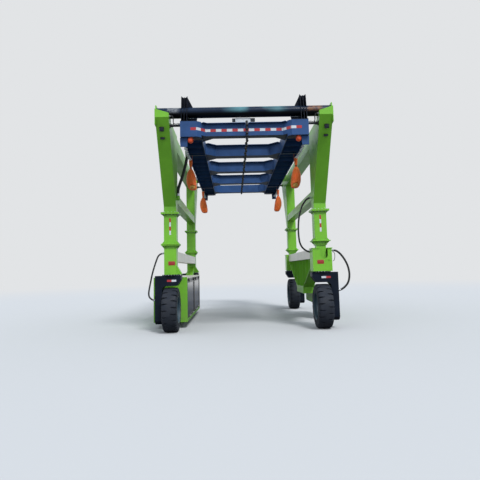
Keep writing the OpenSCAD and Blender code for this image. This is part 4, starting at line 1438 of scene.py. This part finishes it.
@dataclass
class ChainBag:
    """An orange sack that holds the slack of a lifting chain: tied below its mouth, fuller and soft below."""

    corner: Corner
    palette: Palette
    rows: Sequence[Vec] = (
        (-0.811, 0.062, 0.016, 0.014), (-0.808, 0.061, 0.050, 0.043), (-0.797, 0.059, 0.080, 0.068),
        (-0.770, 0.052, 0.099, 0.086), (-0.730, 0.042, 0.112, 0.098), (-0.670, 0.028, 0.123, 0.108),
        (-0.600, 0.015, 0.129, 0.114), (-0.520, 0.009, 0.127, 0.112), (-0.440, 0.005, 0.119, 0.105),
        (-0.370, 0.002, 0.104, 0.092), (-0.310, 0.0, 0.084, 0.074), (-0.262, 0.0, 0.058, 0.051),
        (-0.228, 0.0, 0.031, 0.028), (-0.207, 0.0, 0.0255, 0.0235), (-0.188, 0.0, 0.030, 0.027),
        (-0.150, 0.0, 0.037, 0.033), (-0.100, 0.0, 0.043, 0.038), (-0.050, 0.0, 0.046, 0.040),
        (-0.0015, 0.0, 0.0465, 0.0405))
    tie: float = -0.207
    around: int = 96
    strap_top: float = 4.5452
    strap_x: float = 0.044
    patch: Vec = (-0.735, 0.052, 0.85)

    def mouth(self) -> Vector:
        """Finds the mouth, just under the chain's last link.

        Returns:
            Its middle.
        """
        chain = LiftChain(self.corner, self.palette)
        y, z = chain.centres()[-1]
        dip = math.radians(chain.dip)
        centre_y = y - chain.inner / 2 - chain.wire - 0.020
        return Vector((chain.lug[0], centre_y,
                       z - chain.wire / math.cos(dip) + (y - centre_y - 0.040) * math.tan(dip) - 0.0004))

    def _fold(self, h: float, angle: float) -> float:
        """How far a point leaves the plain form: pleats that run out from the tie, soft dents and creases below.

        Args:
            h: its height from the mouth, down is negative.
            angle: its angle round the bag.

        Returns:
            The distance outwards.
        """
        seed = 0.7 * self.corner.value[1] + 1.3 * self.corner.value[2]
        away = abs(h - self.tie)
        pleat = math.exp(-((away / 0.17) ** 2)) * min(away / 0.02 + 0.25, 1.0)
        wander = angle + 0.35 * math.sin(2 * angle + 6 * h + seed)
        pleats = -0.0085 * pleat * (0.5 + 0.5 * math.cos(10 * wander + seed))
        pleats -= 0.003 * pleat * math.cos(17 * angle + seed)
        low = unit((self.tie - 0.10 - h) / 0.2)
        long_folds = -0.013 * low * (1 - abs(math.sin(2.5 * wander + 2.2 * h + seed))) ** 2
        dents = -0.010 * low * (0.5 + 0.5 * math.cos(3 * angle + 11 * h + seed))
        creases = -0.004 * low * abs(math.sin(7 * angle + 4 * math.sin(9 * h + seed)))
        turn = self._turn(angle)
        reach = unit((-0.26 - h) / 0.10) * unit((h + 0.66) / 0.06)
        gully = -0.022 * reach * math.exp(-(((turn - 0.15 + 1.5 * (h + 0.26)) / 0.17) ** 2))
        lip = h + 0.652 + 0.05 * abs(turn + 0.1)
        hem = 0.010 * math.exp(-((lip / 0.020) ** 2)) - 0.013 * math.exp(-(((lip + 0.034) / 0.016) ** 2))
        hem *= math.exp(-((turn / 1.1) ** 2))
        return pleats + low * 0.011 + long_folds + dents + creases + gully + hem

    @staticmethod
    def _turn(angle: float) -> float:
        """The angle from the side that faces the machine's end, positive towards the inside."""
        return (angle + 0.5 * math.pi) % (2 * math.pi) - math.pi

    def _ring(self, h: float, inset: float = 0.0) -> list[Vec]:
        """One ring of points.

        Args:
            h: its height from the mouth, down is negative.
            inset: how far inside the skin it lies.

        Returns:
            The points.
        """
        hs, shift, wx, wy = (np.array([row[i] for row in self.rows]) for i in range(4))
        a, b, inboard = (float(np.interp(h, hs, w)) for w in (wx, wy, shift))
        at = self.mouth()
        room = min(1.0, a / 0.08)
        out = []
        for k in range(self.around):
            t = 2 * math.pi * k / self.around
            move = self._fold(h, t) * room - inset
            out.append((at.x - inboard + (a + move) * math.cos(t), at.y + (b + move) * math.sin(t), at.z + h))
        return out

    def build(self) -> None:
        """Builds the sack with its inner lining, rim cord, tie cord, light patch and hanging straps."""
        shape = Shape(f"chain_bag_{self.corner.label}", self.palette, "orange_fabric")
        heights = sorted({float(h) for h in np.linspace(self.rows[0][0], -0.60, 34)}
                         | {float(h) for h in np.linspace(-0.60, -0.0015, 48)} | {row[0] for row in self.rows})
        rings = [self._ring(h) for h in heights]
        rings += [self._ring(h, 0.004) for h in reversed(heights) if h > -0.075]
        n, m = len(rings), self.around
        faces = tube_faces(n, m) + [tuple(reversed(range(m))), tuple(range((n - 1) * m, n * m))]
        made = shape.add([p for row in rings for p in row], faces)
        light = shape.use("bag_patch").current
        at = self.mouth()
        height, half_tall, half_turn = self.patch
        for face in made:
            middle = face.calc_center_median() - at
            turn = self._turn(math.atan2(middle.y, middle.x + 0.045))
            if ((middle.z - height) / half_tall) ** 2 + (turn / half_turn) ** 2 < 1.0:
                face.material_index = light
        rim = [(x, y, z + 0.0005) for x, y, z in self._ring(-0.004)]
        shape.use("orange_fabric").sweep(rim, 0.0035, 6, closed=True)
        shape.use("hose_rubber")
        for rise in (-0.006, 0.006):
            shape.sweep(self._ring(self.tie + rise, -0.002), 0.0045, 6, closed=True)
        shape.use("orange_webbing")
        for side in BOTH:
            x = at.x + side * self.strap_x
            shape.block((x - 0.0025, at.y - 0.020, at.z - 0.040), (x + 0.0025, at.y + 0.020, self.strap_top), 0.001)
            for z in (at.z - 0.034, at.z - 0.012):
                shape.block((x - 0.0032, at.y - 0.017, z), (x + 0.0032, at.y + 0.017, z + 0.003))
        shape.mirrored(self.corner.mirror).done("spreader", "orange_fabric", ["chain_bags"], smooth=60.0)


@dataclass
class Enclosure:
    """What dresses the power enclosure: hatch trim, panel latches, and the engine behind the hatches."""

    palette: Palette
    face: float = -1.560
    rail_z: float = 0.276
    leaves: tuple[tuple[str, float, float], ...] = (("front", -2.113, -0.037), ("rear", 0.037, 2.113))
    pane_z: tuple[float, float] = (0.305, 1.175)
    panel: float = 1.090
    skin: float = -2.4495
    fan: Vec = (-2.030, -0.625, 0.600)
    cylinders: int = 6

    def _seal(self, shape: Shape, y0: float, y1: float) -> None:
        """The rubber seal round a pane.

        Args:
            shape: the piece that it goes into.
            y0: the leaf's front edge.
            y1: the leaf's rear edge.
        """
        low, high = self.pane_z
        corners = [Vector((self.face - 0.011, y, z)) for y, z in
                   ((y0 + 0.06, low), (y1 - 0.06, low), (y1 - 0.06, high), (y0 + 0.06, high))]
        line = [a + (b - a) * t for a, b in zip(corners, corners[1:] + corners[:1])
                for t in (0.004, 0.25, 0.5, 0.75, 0.996)]
        shape.sweep(line, 0.0055, 8, closed=True)

    def hatches(self) -> None:
        """A rubber seal round each pane, two handles and two quarter-turn locks on each hatch."""
        for name, y0, y1 in self.leaves:
            shape = Shape(f"hatch_trim_{name}", self.palette, "seal_rubber")
            self._seal(shape, y0, y1)
            shape.use("galvanised")
            for y in (y0 + 0.52, y1 - 0.52):
                path = [(self.face + out, y + along, self.rail_z) for out, along in
                        ((-0.001, -0.075), (0.022, -0.075), (0.032, -0.065), (0.032, 0.065), (0.022, 0.075),
                         (-0.001, 0.075))]
                shape.sweep(smooth_path(path, 4), 0.006, 10)
            shape.use("frame_black")
            for y in (y0 + 0.20, y1 - 0.20):
                shape.lathe([(-0.001, 0.020), (0.006, 0.020), (0.008, 0.017), (0.009, 0.008)],
                            (self.face, y, self.rail_z), (1, 0, 0), 24)
                shape.block((self.face + 0.008, y - 0.004, 0.261), (self.face + 0.013, y + 0.004, 0.291), 0.001)
            shape.done(f"{name}_hatch", "frame_black")

    def panels(self) -> None:
        """Two latches and a pull on each of the four louvred panels."""
        shape = Shape("panel_latches", self.palette, "frame_black")
        for k in (-2, -1, 0, 1):
            middle = (k + 0.5) * self.panel
            for y in (middle - 0.36, middle + 0.36):
                shape.use("frame_black").block((-2.4560, y - 0.030, 0.270), (self.skin, y + 0.030, 0.350), 0.002)
                shape.use("galvanised").block((-2.4620, y - 0.012, 0.285), (-2.4555, y + 0.012, 0.335), 0.002)
            pull = [(x, middle + y, 0.31) for x, y in
                    ((self.skin, -0.06), (-2.466, -0.055), (-2.466, 0.055), (self.skin, 0.06))]
            shape.use("frame_black").sweep(smooth_path(pull, 4), 0.005, 8)
        shape.done("side_frames", "frame_black")

    def engine(self) -> None:
        """The engine, its radiator, its pump drive and their skid, inside the room of the plain block."""
        shape = Shape("engine_set", self.palette, "cast_grey")
        shape.use("frame_black")
        for x in (-2.250, -1.900):
            shape.block((x, -0.748, 0.215), (x + 0.080, 0.847, 0.275), 0.004)
        shape.use("cast_grey")
        for low, high, edge in (((-2.200, -0.500, 0.330), (-1.860, 0.450, 0.660), 0.02),
                                ((-2.160, -0.460, 0.272), (-1.900, 0.400, 0.340), 0.012),
                                ((-2.170, -0.480, 0.655), (-1.890, 0.420, 0.800), 0.012)):
            shape.block(low, high, edge)
        self._cylinders(shape)
        self._filters(shape)
        self._radiator(shape)
        self._pumps(shape)
        shape.done("side_frames", "cast_grey", ["engine"])

    def _cylinders(self, shape: Shape) -> None:
        """Rocker covers with their bolts and exhaust stubs, then the exhaust pipe and the turbine.

        Args:
            shape: the engine.
        """
        for k in range(self.cylinders):
            y = -0.405 + k * 0.148
            shape.block((-2.130, y - 0.062, 0.797), (-1.930, y + 0.062, 0.868), 0.014)
            shape.bolt((-2.030, y, 0.866), (0, 0, 1), 0.016)
            stub = [(-1.892, y, 0.745), (-1.862, y, 0.748), (-1.842, y + 0.01, 0.742), (-1.834, y + 0.03, 0.740)]
            shape.use("worn_steel").sweep(smooth_path(stub, 3), 0.021, 12)
            shape.use("cast_grey").block((-1.866, y - 0.05, 0.42), (-1.853, y + 0.05, 0.60), 0.004)
        shape.use("worn_steel")
        shape.rod((-1.832, -0.45, 0.740), (-1.832, 0.40, 0.740), 0.034, 20)
        shape.lathe([(0, 0.03), (0.01, 0.075), (0.05, 0.082), (0.06, 0.05), (0.10, 0.05), (0.11, 0.078),
                     (0.15, 0.07), (0.165, 0.035)], (-1.865, -0.04, 0.850), (0, 1, 0), 28)

    @staticmethod
    def _filters(shape: Shape) -> None:
        """Two oil filters, the air filter and its duct.

        Args:
            shape: the engine.
        """
        for y in (-0.34, -0.22):
            shape.use("white_paint").lathe([(0, 0.030), (0.006, 0.043), (0.170, 0.043), (0.180, 0.038)],
                                           (-1.829, y, 0.36), (0, 0, 1), 28)
            shape.use("cast_grey").block((-1.870, y - 0.045, 0.538), (-1.790, y + 0.045, 0.575), 0.006)
        shape.use("frame_black").lathe([(0, 0.07), (0.008, 0.088), (0.52, 0.088), (0.53, 0.07)],
                                       (-2.120, -0.20, 0.930), (0, 1, 0), 28)
        duct = [(-2.12, -0.20, 0.93), (-2.12, -0.27, 0.93), (-2.06, -0.32, 0.93), (-1.95, -0.25, 0.92),
                (-1.88, -0.14, 0.87), (-1.865, -0.04, 0.85)]
        shape.use("hose_rubber").sweep(smooth_path(duct, 4), 0.034, 14)

    def _radiator(self, shape: Shape) -> None:
        """Radiator with its fins, fan, belt drive and top hose.

        Args:
            shape: the engine.
        """
        shape.use("frame_black")
        for x0, z0, x1, z1 in ((-2.280, 0.275, -1.780, 0.335), (-2.280, 0.960, -1.780, 1.020),
                               (-2.280, 0.335, -2.250, 0.960), (-1.810, 0.335, -1.780, 0.960)):
            shape.block((x0, -0.748, z0), (x1, -0.700, z1), 0.004)
        shape.block((-2.250, -0.735, 0.330), (-1.810, -0.712, 0.965))
        shape.use("galvanised")
        for k in range(30):
            shape.block((-2.250, -0.7465, 0.345 + 0.0205 * k), (-1.810, -0.734, 0.3475 + 0.0205 * k))
        shape.use("cast_grey")
        shape.lathe([(0, 0.045), (0.04, 0.045), (0.05, 0.03)], (-2.030, -0.64, 0.600), (0, 1, 0), 24)
        for k in range(8):
            turn = Matrix.Translation(self.fan) @ Matrix.Rotation(k * math.pi / 4, 4, "Y")
            shape.block((0.035, -0.003, -0.035), (0.215, 0.003, 0.035), 0.001, turn @ Matrix.Rotation(0.5, 4, "X"))
        shape.use("frame_black")
        for x, z, r in ((-2.030, 0.440, 0.080), (-2.030, 0.600, 0.055), (-1.915, 0.560, 0.032)):
            shape.lathe([(0, r), (0.006, r - 0.006), (0.018, r - 0.006), (0.024, r)], (x, -0.530, z), (0, 1, 0), 28)
        belt = [(-2.0275, 0.3605), (-1.960, 0.398), (-1.885, 0.548), (-1.893, 0.583), (-1.920, 0.592),
                (-2.010, 0.652), (-2.055, 0.650), (-2.084, 0.610), (-2.109, 0.440), (-2.080, 0.378)]
        shape.use("hose_rubber").sweep([(x, -0.518, z) for x, z in belt], 0.006, 6, closed=True)
        top_hose = [(-1.95, -0.70, 0.93), (-1.95, -0.66, 0.93), (-1.97, -0.60, 0.90), (-2.00, -0.54, 0.82),
                    (-2.00, -0.47, 0.78)]
        shape.sweep(smooth_path(top_hose, 5), 0.026, 14)

    @staticmethod
    def _pumps(shape: Shape) -> None:
        """Flywheel housing, pump drive and the two pumps with their pipes.

        Args:
            shape: the engine.
        """
        shape.use("cast_grey")
        shape.lathe([(0, 0.235), (0.035, 0.235), (0.045, 0.215), (0.12, 0.215), (0.15, 0.17), (0.24, 0.16),
                     (0.25, 0.13)], (-2.030, 0.445, 0.520), (0, 1, 0), 40)
        shape.use("galvanised").bolt_ring((-2.030, 0.482, 0.520), (0, 1, 0), 12, 0.224, 0.014, 0.0)
        shape.use("frame_black")
        for x, z in ((-2.100, 0.575), (-1.955, 0.470)):
            shape.rod((x, 0.690, z), (x, 0.847, z), 0.055, 24, 0.006)
            shape.block((x - 0.045, 0.745, z - 0.062), (x + 0.045, 0.815, z + 0.062), 0.008)
        shape.use("hose_rubber")
        for x, z, top in ((-2.100, 0.630, 0.98), (-1.955, 0.530, 0.93)):
            pipe = [(x, 0.78, z), (x, 0.78, z + 0.09), (x - 0.01, 0.74, z + 0.18), (x - 0.02, 0.62, top),
                    (x - 0.02, 0.45, top + 0.015), (x - 0.01, 0.34, top - 0.03), (x, 0.30, 0.86)]
            shape.sweep(smooth_path(pipe, 5), 0.017, 12)

    def build(self) -> None:
        """Builds all of it."""
        self.hatches()
        self.panels()
        self.engine()


@dataclass
class Fittings:
    """Lamps, tapes, plates, bolts, welds and other small pieces."""

    palette: Palette
    arm_foot: float = 3.120
    lean: float = math.atan((1.460 - LEG_HALF) / (5.015 - arm_foot))
    lip: float = 0.085
    lip_z: tuple[float, float] = (4.876, 4.889)
    stripes: tuple[str, str] = ("tape_red", "tape_white")
    tape_rise: float = 0.0004
    tape_plan: Profile = ((-1.24, -4.30), (-1.09, -4.30), (-1.0, -4.22), (-0.9, -4.13), (0.9, -4.13), (1.0, -4.22),
                          (1.09, -4.30), (1.32, -4.30))
    tape_z: tuple[float, float] = (4.697, 4.763)
    tape_parts: int = 21
    stripe: float = 0.105
    yoke_stripe: float = 0.115
    yoke_side: float = 2.2795
    socket_half: float = 0.220
    plate_half: tuple[float, float] = (0.085, 0.050)
    hanger_x: float = 1.480
    lug_x: float = 1.405
    hanger_sheet: float = 0.012

    def lamps(self) -> None:
        """Two lamps on each arm's leaning face: a square work lamp and a smaller one below."""
        for corner in Corner:
            shape = Shape(f"lamps_{corner.label}", self.palette, "lamp_black")
            for z, half, tall, deep in ((4.790, 0.050, 0.050, 0.060), (4.605, 0.050, 0.026, 0.040)):
                y = LEG_Y + LEG_HALF + (z - self.arm_foot) * math.tan(self.lean)
                at = (corner.mirror @ Matrix.Translation((LEG_X + 0.020, y, z))
                      @ Matrix.Rotation(-self.lean, 4, "X"))
                shape.use("lamp_black").block((-half, 0.012, -tall), (half, deep * 0.82, tall), 0.005, at)
                for k in range(-3, 4):
                    fin = k * half / 4
                    shape.block((fin - 0.003, 0.003, -tall * 0.8), (fin + 0.003, 0.013, tall * 0.8), 0.0, at)
                for x0, z0, x1, z1 in ((-half, -tall, -half + 0.006, tall), (half - 0.006, -tall, half, tall),
                                       (-half + 0.005, tall - 0.006, half - 0.005, tall),
                                       (-half + 0.005, -tall, half - 0.005, -tall + 0.006)):
                    shape.block((x0, deep * 0.8, z0), (x1, deep, z1), 0.001, at)
                shape.use("lens").block((-half + 0.007, deep * 0.78, -tall + 0.007),
                                        (half - 0.007, deep * 0.93, tall - 0.007), 0.001, at)
            shape.done("lifting_frame", "lamp_black", ["lamps"])

    def tapes(self) -> None:
        """Red and white tapes on the sleeves, the front member and the yokes."""
        face = -LEG_Y - LEG_HALF
        for side in BOTH:
            tape = Shape(f"sleeve_tape_{'left' if side < 0 else 'right'}", self.palette, *self.stripes)
            for k in range(4):
                top = 2.820 - self.stripe * k
                tape.use(self.stripes[k % 2]).block((side * LEG_X - 0.022, face - 0.0012, top - self.stripe),
                                                    (side * LEG_X + 0.022, face + self.tape_rise, top))
            tape.done("lifting_frame", "lime_paint")
        self.member_tape()
        for corner, x0, order in ((Corner.FRONT_LEFT, -1.98, (0, 1)), (Corner.FRONT_RIGHT, 1.86, (1, 0))):
            tape = Shape(f"yoke_tape_{corner.label}", self.palette, *self.stripes)
            for k, which in enumerate(order):
                x = x0 + k * self.yoke_stripe
                tape.use(self.stripes[which]).block((x, -LEG_Y - 0.1664, 1.235),
                                                    (x + self.yoke_stripe, -LEG_Y - 0.1646, 1.285))
            tape.done(f"yoke_{corner.label}", "navy_paint")

    @staticmethod
    def _along(line: Sequence[Vector], at: float) -> tuple[Vector, Vector]:
        """The point at a distance along a plan, and the way out of the face there.

        Args:
            line: the plan's points.
            at: the distance from its start.

        Returns:
            The point and the way out.
        """
        for p, q in zip(line, line[1:]):
            part = (q - p).length
            if at <= part + 1e-9:
                way = (q - p).normalized()
                return p + way * at, Vector((way.y, -way.x, 0))
            at -= part
        return line[-1], Vector((0, -1, 0))

    def member_tape(self) -> None:
        """The tape along the front member, over its recess and out onto the end plates."""
        line = [Vector((x, y, 0)) for x, y in self.tape_plan]
        total = path_length(line)
        stops = sorted({0.0, total} | {total * k / self.tape_parts for k in range(self.tape_parts + 1)}
                       | {path_length(line[:k + 1]) for k in range(1, len(line) - 1)})
        tape = Shape("spreader_tape", self.palette, *self.stripes)
        for a, b in zip(stops, stops[1:]):
            if b - a < 1e-6:
                continue
            middle = (a + b) / 2
            out = self._along(line, middle)[1]
            p, q = self._along(line, a)[0], self._along(line, b)[0]
            tape.use(self.stripes[int(middle / (total / self.tape_parts)) % 2])
            corners = [v + out * d + Vector((0, 0, z)) for z in self.tape_z for v, d in
                       ((p, -self.tape_rise), (q, -self.tape_rise), (q, 0.0014), (p, 0.0014))]
            tape.add(corners, [(0, 3, 2, 1), (4, 5, 6, 7), (0, 1, 5, 4), (1, 2, 6, 5), (2, 3, 7, 6), (3, 0, 4, 7)])
        bmesh.ops.recalc_face_normals(tape.bm, faces=tape.bm.faces[:])
        tape.done("spreader", "slate_paint")

    def plates(self) -> None:
        """Two bare red plates on the front faces of the leg and the socket."""
        for name, x, face, z in (("left", -1.86, -LEG_Y - 0.1535, 1.690),
                                 ("right", 1.845, -LEG_Y - self.socket_half, 1.640)):
            plate = Shape(f"bare_plate_{name}", self.palette, "red_plate")
            wide, tall = self.plate_half
            plate.block((x - wide, face - 0.003, z - tall), (x + wide, face + self.tape_rise, z + tall), 0.001)
            plate.use("galvanised")
            for px, pz in ((x + sx * 0.075, z + sz * 0.040) for sx in BOTH for sz in BOTH):
                plate.rod((px, face - 0.002, pz), (px, face - 0.0052, pz), 0.004, 10)
            plate.done("side_frames", "lime_paint")

    def box(self) -> None:
        """The white box under the front tube, with its lid, screws and two side lamps."""
        shape = Shape("spreader_box", self.palette, "white_paint")
        shape.block((-0.207, -4.110, 4.890), (0.150, -3.930, 5.030), 0.006)
        shape.block((-0.196, -4.1125, 4.902), (0.139, -4.109, 5.018), 0.001)
        shape.use("galvanised")
        for x in (-0.186, 0.129):
            for z in (4.912, 5.008):
                shape.rod((x, -4.112, z), (x, -4.1155, z), 0.005, 12)
        for x0, x1 in ((-0.280, -0.206), (0.149, 0.255)):
            shape.use("lamp_black").block((x0, -4.082, 4.955), (x1, -4.020, 5.025), 0.005)
            for a, low, b, high in ((x0, 4.955, x1, 4.955 + 0.006), (x0, 5.019, x1, 5.019 + 0.006),
                                    (x0, 4.960, x0 + 0.006, 5.020), (x1 - 0.006, 4.960, x1, 5.020)):
                shape.block((a, -4.090, low), (b, -4.080, high), 0.001)
            shape.use("lens").block((x0 + 0.007, -4.087, 4.962), (x1 - 0.007, -4.079, 5.018), 0.001)
        shape.done("spreader", "white_paint", ["junction_box"])

    def _strip(self, shape: Shape, run: Profile, side: int) -> None:
        """One edge of a top plate.

        Args:
            shape: the piece that it goes into.
            run: its plan.
            side: 1 where the plan's right hand is outwards, else -1.
        """
        line = [Vector((x, y, 0)) for x, y in run]
        low, high = self.lip_z
        points = []
        for k, point in enumerate(line):
            ways = [(line[j + 1] - line[j]).normalized() for j in (k - 1, k) if 0 <= j < len(line) - 1]
            normals = [Vector((way.y, -way.x, 0)) * side for way in ways]
            middle = sum(normals, Vector()).normalized()
            out = middle / max(middle.dot(normals[0]), 0.5)
            points += [tuple(point + out * d + Vector((0, 0, z)))
                       for d, z in ((0.0005, low), (self.lip, low), (self.lip, high), (0.0005, high))]
        faces = [(4 * k + a, 4 * k + (a + 1) % 4, 4 * k + 4 + (a + 1) % 4, 4 * k + 4 + a)
                 for k in range(len(line) - 1) for a in range(4)]
        shape.add(points, faces + [(3, 2, 1, 0), tuple(range(len(points) - 4, len(points)))])

    def lips(self) -> None:
        """The edges of the cross members' top plates, which stand out over the webs and show dark from below, in
        their own shadow and in the slate finish's painted shade.
        """
        shape = Shape("member_lips", self.palette, "slate_paint")
        fish = ((-0.996, -0.394), (-0.740, -0.150), (0.740, -0.150), (0.996, -0.394))
        for middle in (-2.05, 0.0, 2.05):
            for side in (1, -1):
                self._strip(shape, [(x, side * y + middle) for x, y in fish], side)
        for run in (((-1.000, -4.220), (-0.900, -4.130), (0.024, -4.130)),
                    ((0.096, -4.130), (0.900, -4.130), (1.000, -4.220))):
            self._strip(shape, run, 1)
        bmesh.ops.recalc_face_normals(shape.bm, faces=shape.bm.faces[:])
        shape.done("spreader", "slate_paint")

    def tank_trim(self) -> None:
        """Two bands round the tank, a ribbed cap and a level glass."""
        shape = Shape("tank_trim", self.palette, "frame_black")
        edge, out = [], []
        for cx, cz, start in ((2.390, 0.480, -90), (2.390, 0.870, 0), (2.135, 0.870, 90), (2.135, 0.480, 180)):
            for a in (math.radians(start + 15 * k) for k in range(7)):
                edge.append((cx + 0.060 * math.cos(a), cz + 0.060 * math.sin(a)))
                out.append((math.cos(a), 0, math.sin(a)))
        for y in (-0.62, 0.62):
            shape.strap([(x, y - 0.025, z) for x, z in edge], out, (0, 0.05, 0), 0.003)
            shape.block((2.449, y - 0.034, 0.640), (2.462, y + 0.034, 0.700), 0.003)
        for u, v in ring(14, 0.055):
            shape.rod((2.2625 + u, -0.7007 + v, 0.938), (2.2625 + u, -0.7007 + v, 0.968), 0.004, 8)
        shape.use("galvanised")
        for z in (0.500, 0.850):
            shape.rod((2.449, -0.85, z), (2.462, -0.85, z), 0.012, 16)
        shape.use("lens").rod((2.458, -0.85, 0.508), (2.458, -0.85, 0.842), 0.006, 12)
        shape.done("side_frames", "lime_paint")

    def welds(self) -> None:
        """Beads at the foot of the arms, on the sleeves' flanges and along the hangers and lugs."""
        square = ((-1, -1), (1, -1), (1, 1), (-1, 1))
        for corner in Corner:
            shape = Shape(f"welds_{corner.label}", self.palette, "lime_paint")
            for half_x, z in ((0.155, 2.9725), (LEG_HALF, 2.9215), (LEG_HALF, 2.1815)):
                shape.weld([(LEG_X + sx * half_x, LEG_Y + sy * LEG_HALF, z) for sx, sy in square], closed=True)
            shape.weld([(LEG_X + sx * 0.155, LEG_Y + LEG_HALF, self.arm_foot) for sx in BOTH], 0.004)
            shape.weld([(LEG_X - LEG_HALF, y, 5.0155) for y in (3.9400, 4.3200)], 0.004)
            shape.mirrored(corner.mirror).done("lifting_frame", "lime_paint")
            base = Shape(f"hanger_welds_{corner.label}", self.palette, "slate_paint")
            for x in (-0.161, -0.096, -0.031):
                for face in (0.0, self.hanger_sheet):
                    base.weld([(self.hanger_x + x + face, y, 4.9255) for y in (3.905, 4.295)], 0.004)
            for x in (-self.hanger_sheet, self.hanger_sheet):
                base.weld([(self.lug_x + x, y, 4.5448) for y in (3.998, 4.203)], 0.004)
            base.mirrored(corner.mirror).done("spreader", "slate_paint")

    def hub_bolts(self) -> None:
        """Bolts round the axle on each yoke's outer side, and its cover."""
        hub = (self.yoke_side, LEG_Y, AXLE_Z)
        for corner in Corner:
            shape = Shape(f"axle_bolts_{corner.label}", self.palette, "galvanised")
            shape.bolt_ring(hub, (1, 0, 0), 8, 0.095, 0.018)
            shape.use("navy_paint").lathe([(0, 0.070), (0.005, 0.070), (0.008, 0.064), (0.009, 0.01)], hub,
                                          (1, 0, 0), 32)
            shape.mirrored(corner.mirror).done(f"yoke_{corner.label}", "navy_paint")

    def flange_bolts(self) -> None:
        """Bolts through the joint between sleeve and arm, and round the slewing rings."""
        for corner in Corner:
            shape = Shape(f"flange_bolts_{corner.label}", self.palette, "galvanised")
            for side in range(4):
                turn = Matrix.Translation((LEG_X, LEG_Y, 0)) @ Matrix.Rotation(side * math.pi / 2, 4, "Z")
                for k in (-1.5, -0.5, 0.5, 1.5):
                    for z, way in ((2.922, -1), (2.972, 1)):
                        shape.bolt(turn @ Vector((0.192, k * 0.085, z)), (0, 0, way), 0.020)
            shape.mirrored(corner.mirror).done("lifting_frame", "galvanised")
            collar = Shape(f"ring_bolts_{corner.label}", self.palette, "galvanised")
            for (u, v), way in zip(ring(20, 0.2255, 0.5), ring(20, 1.0, 0.5)):
                collar.bolt((LEG_X + u, LEG_Y + v, 1.3975), (*way, 0), 0.013)
            collar.mirrored(corner.mirror).done("side_frames", "cast_grey")

    def build(self) -> None:
        """Builds every fitting."""
        for part in (self.lamps, self.lips, self.tapes, self.plates, self.box, self.tank_trim, self.welds,
                     self.hub_bolts, self.flange_bolts):
            part()


NODE_FINISHES = {
    "lime_paint": "posts left_legs right_sockets right_girder tank sleeves arms tie_beams",
    "lime_panel": "enclosure_base end_panels outer_panels",
    "navy_paint": "slew_rings yoke_front_left yoke_front_right yoke_rear_left yoke_rear_right",
    "cream_paint": "side_beams enclosure_roof",
    "frame_black": "enclosure_frame hatch_front hatch_rear shift_barrels",
    "tinted_glass": "pane_front pane_rear",
    "tube_paint": "cross_tubes",
    "slate_paint": "longitudinals cross_members corner_lugs",
    "hanger_paint": "hangers",
    "bright_steel": "shift_rods",
    "orange_plastic": "beacons",
}
ROUNDED = ("posts left_legs right_sockets side_beams right_girder tank enclosure_base end_panels enclosure_roof "
           "sleeves arms tie_beams longitudinals cross_members hangers corner_lugs yoke_front_left "
           "yoke_front_right yoke_rear_left yoke_rear_right")
ROUNDING = 0.003
SAME_POINT = 0.00002


def ease_edges(node: bpy.types.Object, width: float) -> None:
    """Rounds the sharp edges of a carried-over node by modifiers.

    Args:
        node: the node's object.
        width: how wide the rounding is.
    """
    weld = node.modifiers.new("weld", "WELD")
    weld.merge_threshold = SAME_POINT
    bevel = node.modifiers.new("ease", "BEVEL")
    bevel.width, bevel.segments = width, 2
    bevel.limit_method, bevel.angle_limit = "ANGLE", math.radians(40)
    bevel.use_clamp_overlap = True
    bevel.harden_normals = True


def main() -> None:
    """Builds the studio, then every sub-assembly in order."""
    logging.basicConfig(level=logging.INFO, format="%(name)s: %(message)s")
    studio = Studio()
    studio.place_camera()
    palette = Palette()
    Hoses(palette).build()
    for corner in Corner:
        for part in (Wheel, LiftChain, ChainBag):
            part(corner, palette).build()
    for part in (Conduit, ShiftLines, Enclosure, Fittings):
        part(palette).build()
    for finish, nodes in NODE_FINISHES.items():
        for node in nodes.split():
            palette.dress(node, finish)
    for node in ROUNDED.split():
        ease_edges(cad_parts[node], ROUNDING)
    studio.light()
    studio.floor()
    bpy.context.scene.view_settings.view_transform = "Standard"
    LOG.info("size written")


if __name__ == "__main__":
    main()
